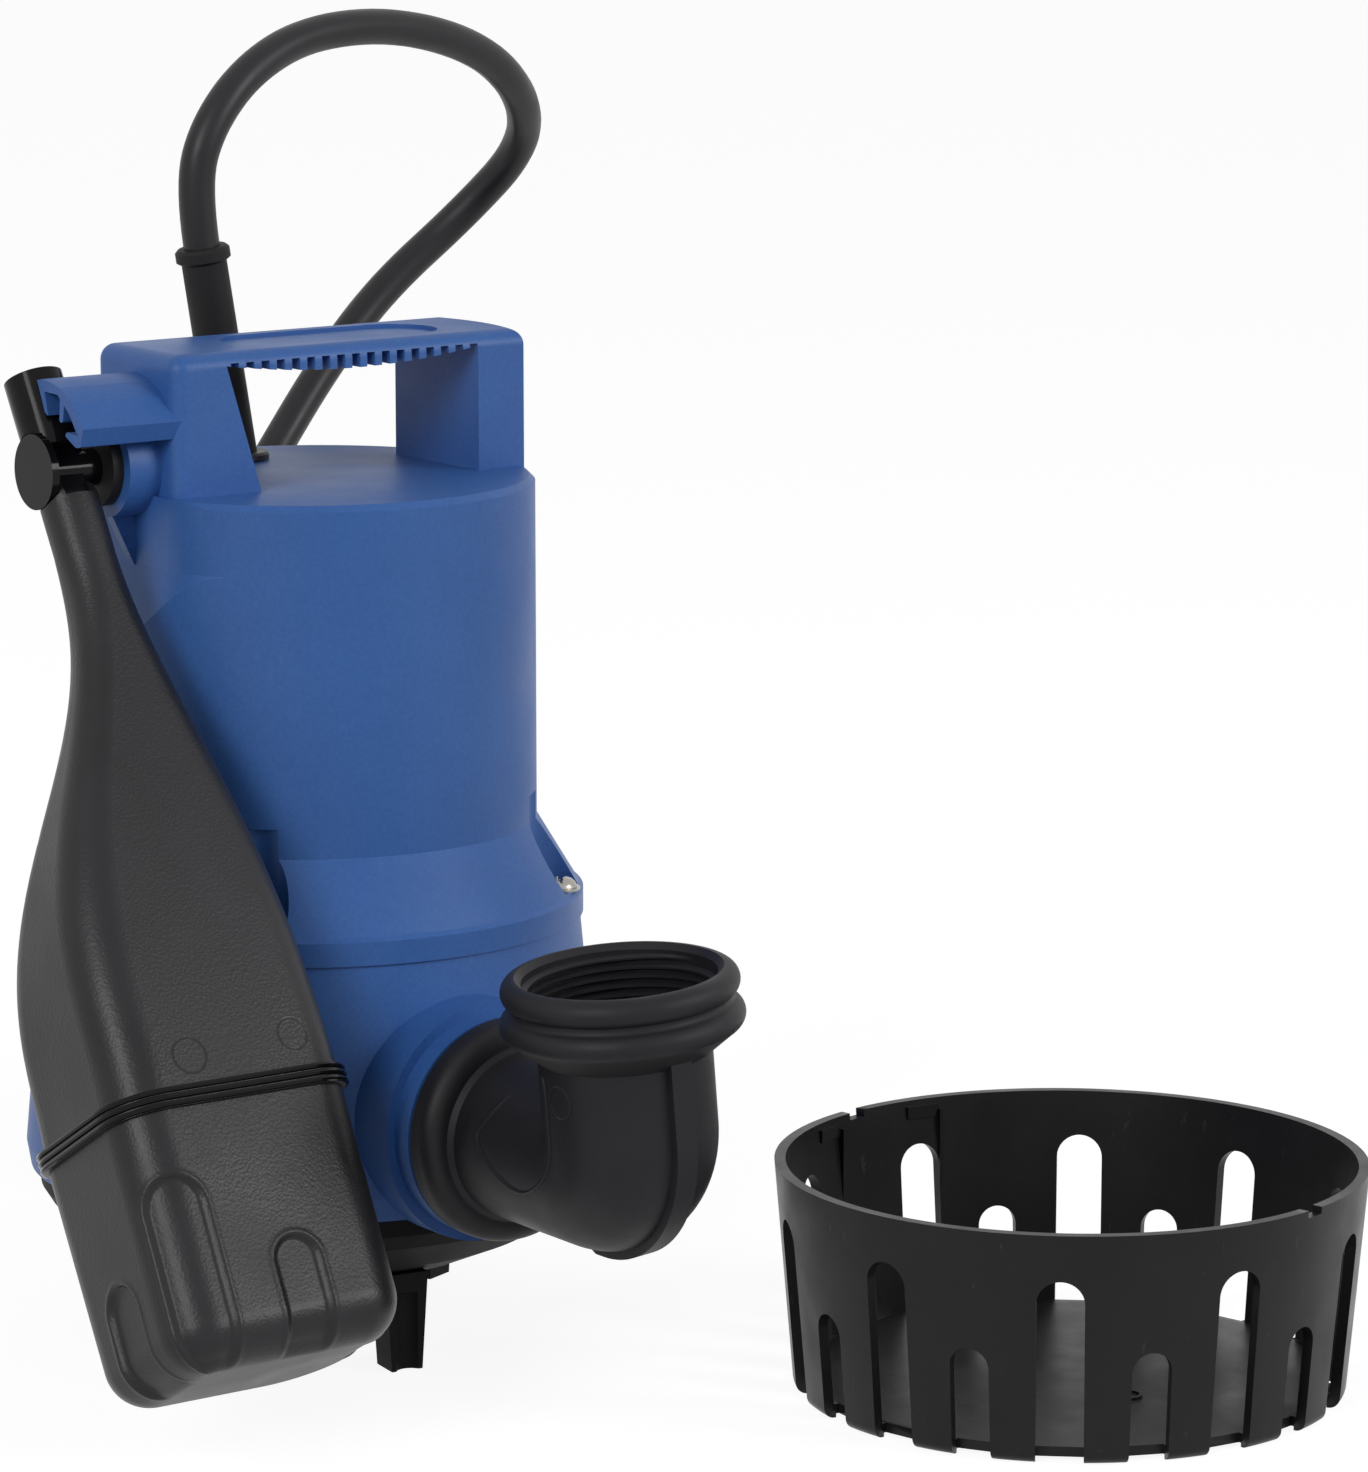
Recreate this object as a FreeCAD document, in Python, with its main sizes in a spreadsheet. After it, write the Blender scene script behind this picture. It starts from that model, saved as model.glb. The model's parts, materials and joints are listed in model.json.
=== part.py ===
import FreeCAD, Part

import math
import os
from types import SimpleNamespace

import Sketcher

# Submersible sump pump with a float switch, standing on the floor.
# Millimetres, +Z up. The origin is on the floor under the motor shaft, the carrying handle runs
# along X with the float on the -X side, and the outlet looks along -Y.

SIZES = {
    # Gaps between pieces
    "fit_gap": 0.3,
    "running_gap": 0.5,
    "shaft_gap": 0.05,
    "moulding_wall": 3.0,
    # Suction cover
    "leg_height": 40.0,
    "leg_inset": 9.0,
    "leg_top_width": 12.0,
    "leg_foot_width": 8.6,
    "leg_depth": 9.0,
    "leg_channel_radius": 3.6,
    "leg_channel_depth": 1.8,
    "leg_count": 3,
    "leg_turn": 22.0,
    "flange_thickness": 5.0,
    "flange_inset": 2.5,
    "flange_width": 5.0,
    "bowl_edge_inset": 2.5,
    "bowl_edge_height": 36.0,
    "bowl_side_inset": 9.0,
    "bowl_side_height": 28.5,
    "bowl_floor_inset": 14.0,
    "bowl_floor_height": 22.5,
    "bowl_mouth_radius": 30.0,
    "bowl_mouth_height": 20.5,
    "intake_bore": 20.0,
    "intake_wall": 4.0,
    "intake_rise": 10.0,
    "front_plate_radius": 44.0,
    "spigot_rise": 3.0,
    "base_screw_inset": 7.5,
    "base_post_radius": 5.0,
    # Pump chamber
    "chamber_height": 65.0,
    "chamber_foot_inset": 1.0,
    "chamber_belly_overhang": 9.0,
    "chamber_belly_rise": 6.0,
    "chamber_wall": 4.5,
    "chamber_floor": 4.0,
    "chamber_mouth_margin": 1.0,
    "seat_radius": 66.0,
    "seat_wall": 3.6,
    "seat_depth": 10.0,
    "seat_ledge": 4.0,
    "outlet_height": 69.5,
    "outlet_boss_radius": 30.5,
    "outlet_collar_step": 6.0,
    "outlet_collar_radius": 28.0,
    "outlet_reach": 87.0,
    "outlet_bore": 20.0,
    # Discharge elbow
    "elbow_turn": 5.0,
    "elbow_radius": 21.3,
    "elbow_bore": 17.5,
    "elbow_bend": 12.0,
    "elbow_run": 57.0,
    "elbow_rise": 51.0,
    "elbow_rib_width": 6.0,
    "elbow_rib_rise": 2.0,
    "elbow_recess_depth": 1.0,
    "elbow_recess_front": 51.4,
    "elbow_recess_back": 19.0,
    "elbow_recess_head": 27.0,
    "elbow_recess_foot": 3.5,
    "elbow_recess_reach": 14.0,
    "elbow_recess_slant": 18.0,
    "elbow_recess_bow": 40.0,
    "elbow_flange_radius": 28.2,
    "elbow_flange_thickness": 9.0,
    "elbow_flange_round": 4.5,
    "elbow_spigot_length": 9.0,
    "mouth_bead_radius": 29.1,
    "mouth_band_radius": 29.9,
    "mouth_round": 3.6,
    "mouth_pitch": 8.3,
    "mouth_taper": 8.5,
    "thread_radius": 23.9,
    "thread_depth": 18.0,
    "gasket_thickness": 1.5,
    "gasket_width": 4.5,
    # Motor cover
    "cover_height": 114.0,
    "cover_wall": 3.2,
    "cover_bevel": 1.6,
    "plate_thickness": 4.0,
    "lip_overhang": 0.9,
    "lip_height": 6.0,
    "lip_step": 1.2,
    "flare_height": 25.0,
    "flat_inset": 6.0,
    "flat_drop": 18.0,
    "flat_slope": 18.0,
    "flat_round": 30.0,
    "screw_inset": 0.5,
    "screw_pocket_radius": 8.5,
    "screw_seat_height": 7.5,
    "screw_count": 4,
    "screw_turn": 45.0,
    # Carrying handle
    "handle_height": 35.7,
    "handle_inset": 1.5,
    "handle_half_width": 19.5,
    "handle_end_inset": 1.0,
    "handle_round": 4.0,
    "post_foot_width": 25.0,
    "post_head_width": 15.2,
    "end_post_width": 17.5,
    "bar_thickness": 2.8,
    "grip_sag": 3.0,
    "grip_edge": 0.6,
    "grip_pitch": 4.5,
    "grip_gap": 2.4,
    "grip_gap_count": 17,
    "recess_left": 24.0,
    "recess_right": 38.0,
    "recess_half_width": 12.0,
    "recess_depth": 1.0,
    # Float switch in the left post
    "pivot_rise": 7.1,
    "boss_radius": 13.0,
    "boss_length": 9.3,
    "bush_radius": 10.0,
    "bush_thickness": 3.0,
    "pivot_radius": 3.25,
    "disc_radius": 9.5,
    "disc_thickness": 2.0,
    "disc_overhang": 7.5,
    "post_hollow_half_width": 14.0,
    "post_hollow_drop": 9.7,
    "cam_radius": 6.0,
    "cam_width": 6.0,
    "cam_inset": 9.5,
    "switch_height": 8.0,
    "switch_length": 20.0,
    "hood_length": 26.2,
    # Float
    "float_lean": 30.0,
    "stub_diameter": 15.0,
    "stub_foot": 5.0,
    "stub_top": 25.0,
    "stub_gap": 2.2,
    "web_width": 8.0,
    "float_wall": 2.2,
    "float_length": 233.0,
    "seam_drop": 167.0,
    "seam_height": 5.0,
    "seam_proud": 1.2,
    "float_bottom_round": 11.0,
    "float_recess_depth": 1.4,
    "float_recess_width": 15.0,
    "float_recess_length": 26.0,
    # Motor
    "can_gap": 5.3,
    "can_wall": 1.5,
    "can_height": 76.0,
    "stator_bore": 26.0,
    "stator_length": 38.0,
    "winding_inset": 4.2,
    "winding_width": 15.0,
    "winding_height": 9.4,
    "shaft_radius": 6.0,
    "seal_plate_thickness": 10.0,
    "bearing_post": 12.0,
    "lower_bearing_radius": 15.0,
    "lower_bearing_width": 10.0,
    "upper_bearing_radius": 14.0,
    "upper_bearing_width": 9.0,
    "bearing_seat_wall": 3.8,
    "bracket_thickness": 6.5,
    "seal_radius": 10.0,
    "seal_length": 11.4,
    "impeller_radius": 40.0,
    "impeller_disc": 4.0,
    "impeller_hub": 10.0,
    "impeller_drop": 28.0,
    "vane_count": 6,
    "vane_height": 22.0,
    "vane_thickness": 3.0,
    "nut_height": 5.0,
    "ring_wire": 1.6,
    "ring_wall": 1.7,
    "capacitor_radius": 15.0,
    "capacitor_length": 62.0,
    # Screws
    "screw_shank": 2.0,
    "screw_head": 4.5,
    "screw_head_height": 3.0,
    "screw_length": 20.0,
    # Power cable
    "gland_x": 0.2,
    "gland_y": 36.0,
    "gland_radius": 6.9,
    "gland_collar": 9.2,
    "gland_nut": 10.5,
    "boot_radius": 6.0,
    "boot_length": 54.6,
    "boot_lean": 9.4,
    "boot_ring_radius": 7.15,
    "boot_ring_height": 4.0,
    "cable_diameter": 9.5,
    "coil_outer": 62.0,
    "coil_pitch": 10.4,
    "coil_layer": 10.0,
    "coil_layers": 4,
    "coil_turns": 2,
    "coil_bulge": 3.5,
    "plug_radius": 19.0,
    "plug_length": 42.0,
    "plug_neck": 12.0,
    "pin_radius": 2.4,
    "pin_length": 19.0,
    "pin_spacing": 19.0,
    # Strainer basket beside the pump
    "basket_x": 121.4,
    "basket_y": -163.3,
    "basket_height": 58.7,
    "basket_rim_radius": 74.8,
    "basket_foot_radius": 70.0,
    "basket_wall": 2.8,
    "basket_floor": 2.5,
    "basket_floor_rise": 1.0,
    "basket_foot_width": 3.5,
    "basket_round": 3.0,
    "basket_turn": 12.5,
    "slot_count": 10,
    "long_slot_width": 11.8,
    "long_slot_top": 47.0,
    "short_slot_width": 10.0,
    "short_slot_top": 28.5,
}

os.makedirs("parts", exist_ok=True)
doc = FreeCAD.newDocument("sump_pump")
V = FreeCAD.Vector


class Size:
    """A number together with the sheet expression that gives it."""

    def __init__(self, value, text):
        self.value = float(value)
        self.text = text

    def __add__(self, other):
        return Size(self.value + number(other), f"({self.text} + {words(other)})")

    def __sub__(self, other):
        return Size(self.value - number(other), f"({self.text} - {words(other)})")

    def __mul__(self, other):
        return Size(self.value * number(other), f"({self.text} * {words(other)})")

    def __truediv__(self, other):
        return Size(self.value / number(other), f"({self.text} / {words(other)})")

    def __radd__(self, other):
        return Size(number(other), words(other)) + self

    def __rsub__(self, other):
        return Size(number(other), words(other)) - self

    def __rmul__(self, other):
        return Size(number(other), words(other)) * self

    def __rtruediv__(self, other):
        return Size(number(other), words(other)) / self

    def __neg__(self):
        return Size(-self.value, f"(0 - {self.text})")


def number(size):
    return size.value if isinstance(size, Size) else float(size)


def words(size):
    return size.text if isinstance(size, Size) else f"({float(size)!r})"


def cosine(angle):
    return Size(math.cos(math.radians(number(angle))), f"cos({words(angle)})")


def sine(angle):
    return Size(math.sin(math.radians(number(angle))), f"sin({words(angle)})")


def root(size):
    return Size(math.sqrt(number(size)), f"sqrt({words(size)})")


def fill_sheet():
    sheet = doc.addObject("Spreadsheet::Sheet", "sizes")
    for row, (name, value) in enumerate(SIZES.items(), start=1):
        sheet.set(f"A{row}", name)
        sheet.set(f"B{row}", str(value))
        sheet.setAlias(f"B{row}", name)
    doc.recompute()
    return SimpleNamespace(**{name: Size(value, f"<<sizes>>.{name}") for name, value in SIZES.items()})


s = fill_sheet()


# Drawing helpers

def bind(thing, path, size):
    """Give a property its size, bound to the sheet where it comes from there."""
    if isinstance(size, Size):
        thing.setExpression(path, size.text)
    elif "." not in path:
        setattr(thing, path, size)


def new_body(name, x=0, y=0, z=0, axis=V(0, 0, 1), turn=0):
    """Start a body whose own frame stands at x, y, z and is turned about an axis."""
    body = doc.addObject("PartDesign::Body", name)
    body.Label = name
    body.AllowCompound = True
    body.Placement = FreeCAD.Placement(V(number(x), number(y), number(z)),
                                       FreeCAD.Rotation(axis, number(turn)))
    bind(body, "Placement.Base.x", x)
    bind(body, "Placement.Base.y", y)
    bind(body, "Placement.Base.z", z)
    bind(body, "Placement.Rotation.Angle", turn)
    return body


def origin_feature(body, role):
    return next(item for item in body.Origin.OriginFeatures if item.Role == role)


def sketch_on(body, plane, lift=0, across=0, turn=0, up=0):
    """Put a sketch on a plane of the body, lifted along its normal and shifted along its two axes."""
    sketch = body.newObject("Sketcher::SketchObject", f"{body.Label}_outline")
    sketch.AttachmentSupport = (origin_feature(body, plane), [""])
    sketch.MapMode = "FlatFace"
    sketch.AttachmentOffset = FreeCAD.Placement(V(number(across), number(up), number(lift)),
                                                FreeCAD.Rotation(V(0, 1, 0), number(turn)))
    bind(sketch, "AttachmentOffset.Base.x", across)
    bind(sketch, "AttachmentOffset.Base.y", up)
    bind(sketch, "AttachmentOffset.Base.z", lift)
    bind(sketch, "AttachmentOffset.Rotation.Angle", turn)
    return sketch


def fix(sketch, kind, *where, size):
    index = sketch.addConstraint(Sketcher.Constraint(kind, *where, number(size)))
    if isinstance(size, Size):
        sketch.setExpression(f"Constraints[{index}]", size.text)


def arc_between(start, end, radius):
    """The arc of at most half a turn between two points: left-turning where the radius is positive."""
    chord = end - start
    side = 1 if radius > 0 else -1
    rise = math.sqrt(max(radius * radius - chord.Length ** 2 / 4, 0))
    centre = (start + end) / 2 + V(-chord.y, chord.x, 0) * (side * rise / chord.Length)
    angles = [math.atan2(point.y - centre.y, point.x - centre.x) for point in (start, end)][::side]
    return Part.ArcOfCircle(Part.Circle(centre, V(0, 0, 1), abs(radius)), *angles)


def draw(sketch, corners):
    """Draw a closed outline of corners (x, y), or (x, y, radius) where an arc leads to the next one."""
    points = [V(number(corner[0]), number(corner[1]), 0) for corner in corners]
    edges = []
    for corner, start, end in zip(corners, points, points[1:] + points[:1]):
        if len(corner) == 3:
            radius = number(corner[2])
            index = sketch.addGeometry(arc_between(start, end, radius), False)
            edges.append((index, 1, 2) if radius > 0 else (index, 2, 1))
        else:
            edges.append((sketch.addGeometry(Part.LineSegment(start, end), False), 1, 2))
    for (index, _, last), (following, first, _) in zip(edges, edges[1:] + edges[:1]):
        sketch.addConstraint(Sketcher.Constraint("Coincident", index, last, following, first))
    for corner, (index, first, _) in zip(corners, edges):
        fix(sketch, "DistanceX", index, first, size=corner[0])
        fix(sketch, "DistanceY", index, first, size=corner[1])
        if len(corner) == 3:
            radius = corner[2] if number(corner[2]) > 0 else -corner[2]
            fix(sketch, "Radius", index, size=radius)
    return sketch


def draw_circle(sketch, x, y, radius):
    index = sketch.addGeometry(Part.Circle(V(number(x), number(y), 0), V(0, 0, 1), number(radius)), False)
    fix(sketch, "DistanceX", index, 3, size=x)
    fix(sketch, "DistanceY", index, 3, size=y)
    fix(sketch, "Radius", index, size=radius)
    return sketch


def rounded_box(x0, x1, y0, y1, *radii):
    """Corners of a box with four rounded corners, from the one at x0, y0 anticlockwise."""
    a, b, c, d = radii if len(radii) == 4 else radii * 4
    return [(x0 + a, y0), (x1 - b, y0, b), (x1, y0 + b), (x1, y1 - c, c),
            (x1 - c, y1), (x0 + d, y1, d), (x0, y1 - d), (x0, y0 + a, a)]


def feature(body, kind, name, **settings):
    item = body.newObject(f"PartDesign::{kind}", f"{body.Label}_{name}")
    for key, value in settings.items():
        setattr(item, key, value)
    return item


def pad(body, name, sketch, length, back=False, both=False):
    item = feature(body, "Pad", name, Profile=sketch, Reversed=back, Midplane=both)
    bind(item, "Length", length)
    doc.recompute()
    return item


def pocket(body, name, sketch, length, back=False, both=False):
    """Cut a sketch out of the body: against its plane's normal, along it where back is set."""
    before = body.Shape.Volume
    item = feature(body, "Pocket", name, Profile=sketch, Reversed=back, Midplane=both)
    bind(item, "Length", length)
    doc.recompute()
    if not body.Shape.Volume < before:
        raise RuntimeError(f"{item.Name} cuts nothing")
    return item


def revolve(body, name, corners):
    """Turn an outline of (radius, height) corners about the body's Z axis."""
    sketch = draw(sketch_on(body, "XZ_Plane"), corners)
    item = feature(body, "Revolution", name, Profile=sketch,
                   ReferenceAxis=(origin_feature(body, "Z_Axis"), [""]))
    doc.recompute()
    return item


def groove(body, name, corners):
    before = body.Shape.Volume
    sketch = draw(sketch_on(body, "XZ_Plane"), corners)
    item = feature(body, "Groove", name, Profile=sketch,
                   ReferenceAxis=(origin_feature(body, "Z_Axis"), [""]))
    doc.recompute()
    if not body.Shape.Volume < before:
        raise RuntimeError(f"{item.Name} cuts nothing")
    return item


def spread(body, name, originals, count):
    """Repeat features round the body's Z axis."""
    item = feature(body, "PolarPattern", name, Originals=originals, Angle=360,
                   Axis=(origin_feature(body, "Z_Axis"), [""]), Occurrences=int(number(count)))
    bind(item, "Occurrences", count)
    body.Tip = item
    doc.recompute()
    return item


def edges_where(item, test):
    return [f"Edge{index}" for index, edge in enumerate(item.Shape.Edges, start=1) if test(edge)]


def round_edges(body, name, base, radius, test):
    item = feature(body, "Fillet", name, Base=(base, edges_where(base, test)))
    bind(item, "Radius", radius)
    doc.recompute()
    return item


def ring_corners(inner, outer, low, high):
    return [(inner, low), (outer, low), (outer, high), (inner, high)]


# Heights and places that several pieces share

screw_circle = s.seat_radius - s.screw_inset
chamber_belly_radius = s.seat_radius + s.chamber_belly_overhang
chamber_foot_radius = chamber_belly_radius - s.chamber_foot_inset
flange_radius = chamber_foot_radius - s.flange_inset
bowl_edge_radius = flange_radius - s.bowl_edge_inset
bowl_side_radius = bowl_edge_radius - s.bowl_side_inset
bowl_floor_radius = bowl_side_radius - s.bowl_floor_inset
leg_circle = bowl_side_radius - s.leg_inset
base_screw_circle = flange_radius - s.base_screw_inset
chamber_mouth = base_screw_circle - s.base_post_radius - s.chamber_mouth_margin
chamber_top_radius = s.seat_radius + s.seat_wall
lip_radius = chamber_top_radius + s.lip_overhang
flare_radius = lip_radius - s.lip_step
ring_radius = screw_circle - s.base_post_radius - s.fit_gap - s.ring_wire
cavity_radius = ring_radius - s.ring_wire - s.ring_wall
cover_radius = cavity_radius + s.cover_wall
can_radius = cavity_radius - s.can_gap
stator_radius = can_radius - s.can_wall - s.fit_gap
winding_outer = stator_radius - s.winding_inset
winding_bore = winding_outer - s.winding_width
flat_reach = cover_radius - s.flat_inset
handle_left = flat_reach - s.handle_inset
handle_end_radius = cover_radius - s.handle_end_inset
window_left_foot = handle_left - s.post_foot_width
window_left_head = handle_left - s.post_head_width
window_right = handle_end_radius - s.end_post_width
boss_reach = handle_left + s.boss_length
pivot_reach = boss_reach + s.bush_thickness + s.stub_gap + s.stub_diameter / 2
disc_reach = pivot_reach + s.disc_overhang
cam_reach = handle_left - s.cam_inset
cover_foot = s.leg_height + s.flange_thickness + s.chamber_height
chamber_foot = s.leg_height + s.flange_thickness
intake_top = chamber_foot + s.intake_rise
impeller_top = cover_foot - s.impeller_drop
outlet_boss_reach = s.outlet_reach - s.outlet_collar_step
plate_top = cover_foot + s.cover_height
plate_under = plate_top - s.plate_thickness
handle_top = plate_top + s.handle_height
pivot_height = plate_top + s.pivot_rise
post_hollow_top = handle_top - s.post_hollow_drop
can_top = cover_foot + s.can_height
plate_bottom = cover_foot - s.seal_plate_thickness
stator_foot = cover_foot + 18
stator_top = stator_foot + s.stator_length
bracket_top = can_top - s.can_wall
bracket_foot = bracket_top - s.bracket_thickness
upper_bearing_foot = bracket_foot - 6
shaft_top = upper_bearing_foot + s.upper_bearing_width + 1
impeller_under = impeller_top - s.impeller_disc
vane_foot = impeller_under - s.vane_height


# Base

def make_suction_cover():
    """Black dish with the intake, three hollow legs and the posts of the base screws."""
    body = new_body("suction_cover", turn=s.leg_turn)
    wall = s.moulding_wall
    spigot = chamber_mouth - s.fit_gap
    tube = s.intake_bore + s.intake_wall
    inner_floor = s.bowl_mouth_height + wall
    rim = flange_radius - s.flange_width
    revolve(body, "dish", [
        (s.intake_bore, s.bowl_mouth_height),
        (s.bowl_mouth_radius, s.bowl_mouth_height),
        (bowl_floor_radius, s.bowl_floor_height),
        (bowl_side_radius, s.bowl_side_height),
        (bowl_edge_radius, s.bowl_edge_height),
        (flange_radius, s.leg_height),
        (flange_radius, chamber_foot),
        (rim, chamber_foot),
        (rim, s.bowl_edge_height + 2.2),
        (spigot, s.bowl_side_height + 2.1),
        (spigot, chamber_foot + s.spigot_rise),
        (spigot - wall, chamber_foot + s.spigot_rise),
        (spigot - wall, s.bowl_side_height + 0.6),
        (bowl_floor_radius - 0.7, s.bowl_floor_height + wall),
        (s.bowl_mouth_radius, inner_floor),
        (tube, inner_floor),
        (tube, intake_top - wall),
        (s.front_plate_radius, intake_top - wall),
        (s.front_plate_radius, intake_top),
        (s.intake_bore, intake_top)])
    leg_top = s.bowl_floor_height + wall
    blank = draw(sketch_on(body, "YZ_Plane", lift=leg_circle - s.leg_depth / 2), [
        (-s.leg_foot_width / 2, 0), (s.leg_foot_width / 2, 0),
        (s.leg_top_width / 2, leg_top), (-s.leg_top_width / 2, leg_top)])
    leg = pad(body, "leg", blank, s.leg_depth)
    hollow = draw_circle(sketch_on(body, "XY_Plane", lift=s.bowl_mouth_height),
                         leg_circle + s.leg_depth / 2 + s.leg_channel_radius - s.leg_channel_depth, 0,
                         s.leg_channel_radius)
    channel = pocket(body, "leg_channel", hollow, s.bowl_mouth_height)
    spread(body, "legs", [leg, channel], s.leg_count)
    half = 180 / s.leg_count
    x = base_screw_circle * cosine(half)
    y = base_screw_circle * sine(half)
    post = pad(body, "screw_post",
               draw_circle(sketch_on(body, "XY_Plane", lift=s.bowl_edge_height), x, y, s.base_post_radius),
               chamber_foot - s.bowl_edge_height)
    seat = pocket(body, "screw_seat",
                  draw_circle(sketch_on(body, "XY_Plane", lift=s.bowl_mouth_height), x, y,
                              s.screw_head + s.fit_gap),
                  s.bowl_edge_height + 1.5 - s.bowl_mouth_height, back=True)
    hole = pocket(body, "screw_hole",
                  draw_circle(sketch_on(body, "XY_Plane", lift=s.bowl_mouth_height), x, y,
                              s.screw_shank + s.fit_gap),
                  chamber_foot, back=True)
    spread(body, "screw_posts", [post, seat, hole], s.leg_count)
    return body


def make_pump_chamber():
    """Blue chamber with the outlet boss, an inner floor ring, and bosses for both sets of screws."""
    body = new_body("pump_chamber")
    belly = chamber_foot + s.chamber_belly_rise
    revolve(body, "shell", [
        (0, chamber_foot), (chamber_foot_radius, chamber_foot), (chamber_belly_radius, belly),
        (chamber_top_radius, cover_foot), (0, cover_foot)])
    pad(body, "outlet_boss",
        draw_circle(sketch_on(body, "XZ_Plane"), 0, s.outlet_height, s.outlet_boss_radius),
        outlet_boss_reach)
    pad(body, "outlet_collar",
        draw_circle(sketch_on(body, "XZ_Plane"), 0, s.outlet_height, s.outlet_collar_radius), s.outlet_reach)
    inner = chamber_belly_radius - s.chamber_wall
    ledge = s.seat_radius - s.seat_ledge
    seat_floor = cover_foot - s.seat_depth
    groove(body, "cavity", [
        (0, chamber_foot), (chamber_mouth, chamber_foot), (chamber_mouth, chamber_foot + s.chamber_floor),
        (inner, chamber_foot + s.chamber_floor), (inner, belly), (ledge, seat_floor),
        (s.seat_radius, seat_floor), (s.seat_radius, cover_foot), (0, cover_foot)])
    pocket(body, "flange_room",
           draw_circle(sketch_on(body, "XY_Plane", lift=chamber_foot), 0, 0, flange_radius + s.fit_gap),
           chamber_foot)
    pocket(body, "outlet_bore",
           draw_circle(sketch_on(body, "XZ_Plane"), 0, s.outlet_height, s.outlet_bore),
           s.outlet_reach + 1, back=True)
    x = screw_circle * cosine(s.screw_turn)
    y = screw_circle * sine(s.screw_turn)
    boss_length = s.screw_length + 4
    boss = pad(body, "cover_screw_boss",
               draw_circle(sketch_on(body, "XY_Plane", lift=cover_foot), x, y, s.base_post_radius - 1),
               boss_length, back=True)
    hole = pocket(body, "cover_screw_hole",
                  draw_circle(sketch_on(body, "XY_Plane", lift=cover_foot), x, y, s.screw_shank + 0.1),
                  s.screw_length)
    spread(body, "cover_screw_bosses", [boss, hole], s.screw_count)
    turn = s.leg_turn + 180 / s.leg_count
    x = base_screw_circle * cosine(turn)
    y = base_screw_circle * sine(turn)
    boss = pad(body, "base_screw_boss",
               draw_circle(sketch_on(body, "XY_Plane", lift=chamber_foot), x, y, s.base_post_radius),
               s.screw_length - 2)
    hole = pocket(body, "base_screw_hole",
                  draw_circle(sketch_on(body, "XY_Plane", lift=chamber_foot), x, y, s.screw_shank + 0.1),
                  s.screw_length - 4, back=True)
    spread(body, "base_screw_bosses", [boss, hole], s.leg_count)
    return body


def make_screws(name, circle, turn, count, head_foot, up):
    """Pan-head screws on a circle, pointing down, or up from below."""
    body = new_body(name, turn=turn)
    way = 1 if up else -1
    tip = head_foot + way * s.screw_length
    back = head_foot - way * s.screw_head_height
    crown = head_foot - way * s.screw_head_height * 0.4
    sketch = draw(sketch_on(body, "XZ_Plane", across=circle), [
        (0, tip), (s.screw_shank, tip), (s.screw_shank, head_foot), (s.screw_head, head_foot),
        (s.screw_head, crown), (s.screw_head * 0.6, back), (0, back)])
    screw = feature(body, "Revolution", "screw", Profile=sketch, ReferenceAxis=(sketch, ["V_Axis"]))
    doc.recompute()
    spread(body, "screws", [screw], count)
    return body


# Discharge elbow

def make_discharge_elbow():
    """Matt black elbow: rounded inlet flange, tight bend with a rib outside, ringed and threaded mouth."""
    body = elbow_body("discharge_elbow")
    top = s.elbow_rise
    radius = s.elbow_radius
    elbow_tube(body, "tube", radius, s.fit_gap, top - s.mouth_round)
    flange = s.elbow_flange_thickness
    edge = s.elbow_flange_round
    collar = draw(sketch_on(body, "YZ_Plane"), [
        (s.elbow_spigot_length, 0), (s.elbow_spigot_length, s.outlet_bore - s.fit_gap),
        (-s.fit_gap, s.outlet_bore - s.fit_gap), (-s.fit_gap, s.elbow_flange_radius - 1),
        (-s.fit_gap - 1, s.elbow_flange_radius), (edge - flange, s.elbow_flange_radius, edge),
        (-flange, s.elbow_flange_radius - edge), (-flange, radius + 1.2), (-flange - 1.2, radius),
        (-flange - 1.2, 0)])
    feature(body, "Revolution", "inlet_flange", Profile=collar, ReferenceAxis=(collar, ["H_Axis"]))
    doc.recompute()
    elbow_rib(body)
    body.newObject("PartDesign::Boolean", "discharge_elbow_recess").setObjects([elbow_recess()])
    body.Tip.Type = "Cut"
    doc.recompute()
    elbow_mouth(body)
    elbow_tube(body, "bore", s.elbow_bore, -s.elbow_spigot_length, top + 1, cut=True)
    thread = draw(sketch_on(body, "XZ_Plane", lift=s.elbow_run), [
        (0, top - s.thread_depth - 4), (s.elbow_bore, top - s.thread_depth - 4),
        (s.thread_radius, top - s.thread_depth), (s.thread_radius, top - 1.5), (s.thread_radius + 1.5, top),
        (0, top)])
    feature(body, "Groove", "thread_bore", Profile=thread, ReferenceAxis=(thread, ["V_Axis"]))
    doc.recompute()
    room = draw(sketch_on(body, "YZ_Plane"), [
        (0, s.outlet_bore + 1), (0, s.outlet_bore + 1 + s.gasket_width),
        (-s.gasket_thickness, s.outlet_bore + 1 + s.gasket_width), (-s.gasket_thickness, s.outlet_bore + 1)])
    feature(body, "Groove", "gasket_room", Profile=room, ReferenceAxis=(room, ["H_Axis"]))
    doc.recompute()
    return body


def elbow_body(name):
    """A body in the elbow's frame: -Y runs forward from the outlet's face, and +Z up to the mouth."""
    return new_body(name, y=-s.outlet_reach, z=s.outlet_height, axis=V(0, 1, 0), turn=-s.elbow_turn)


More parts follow.
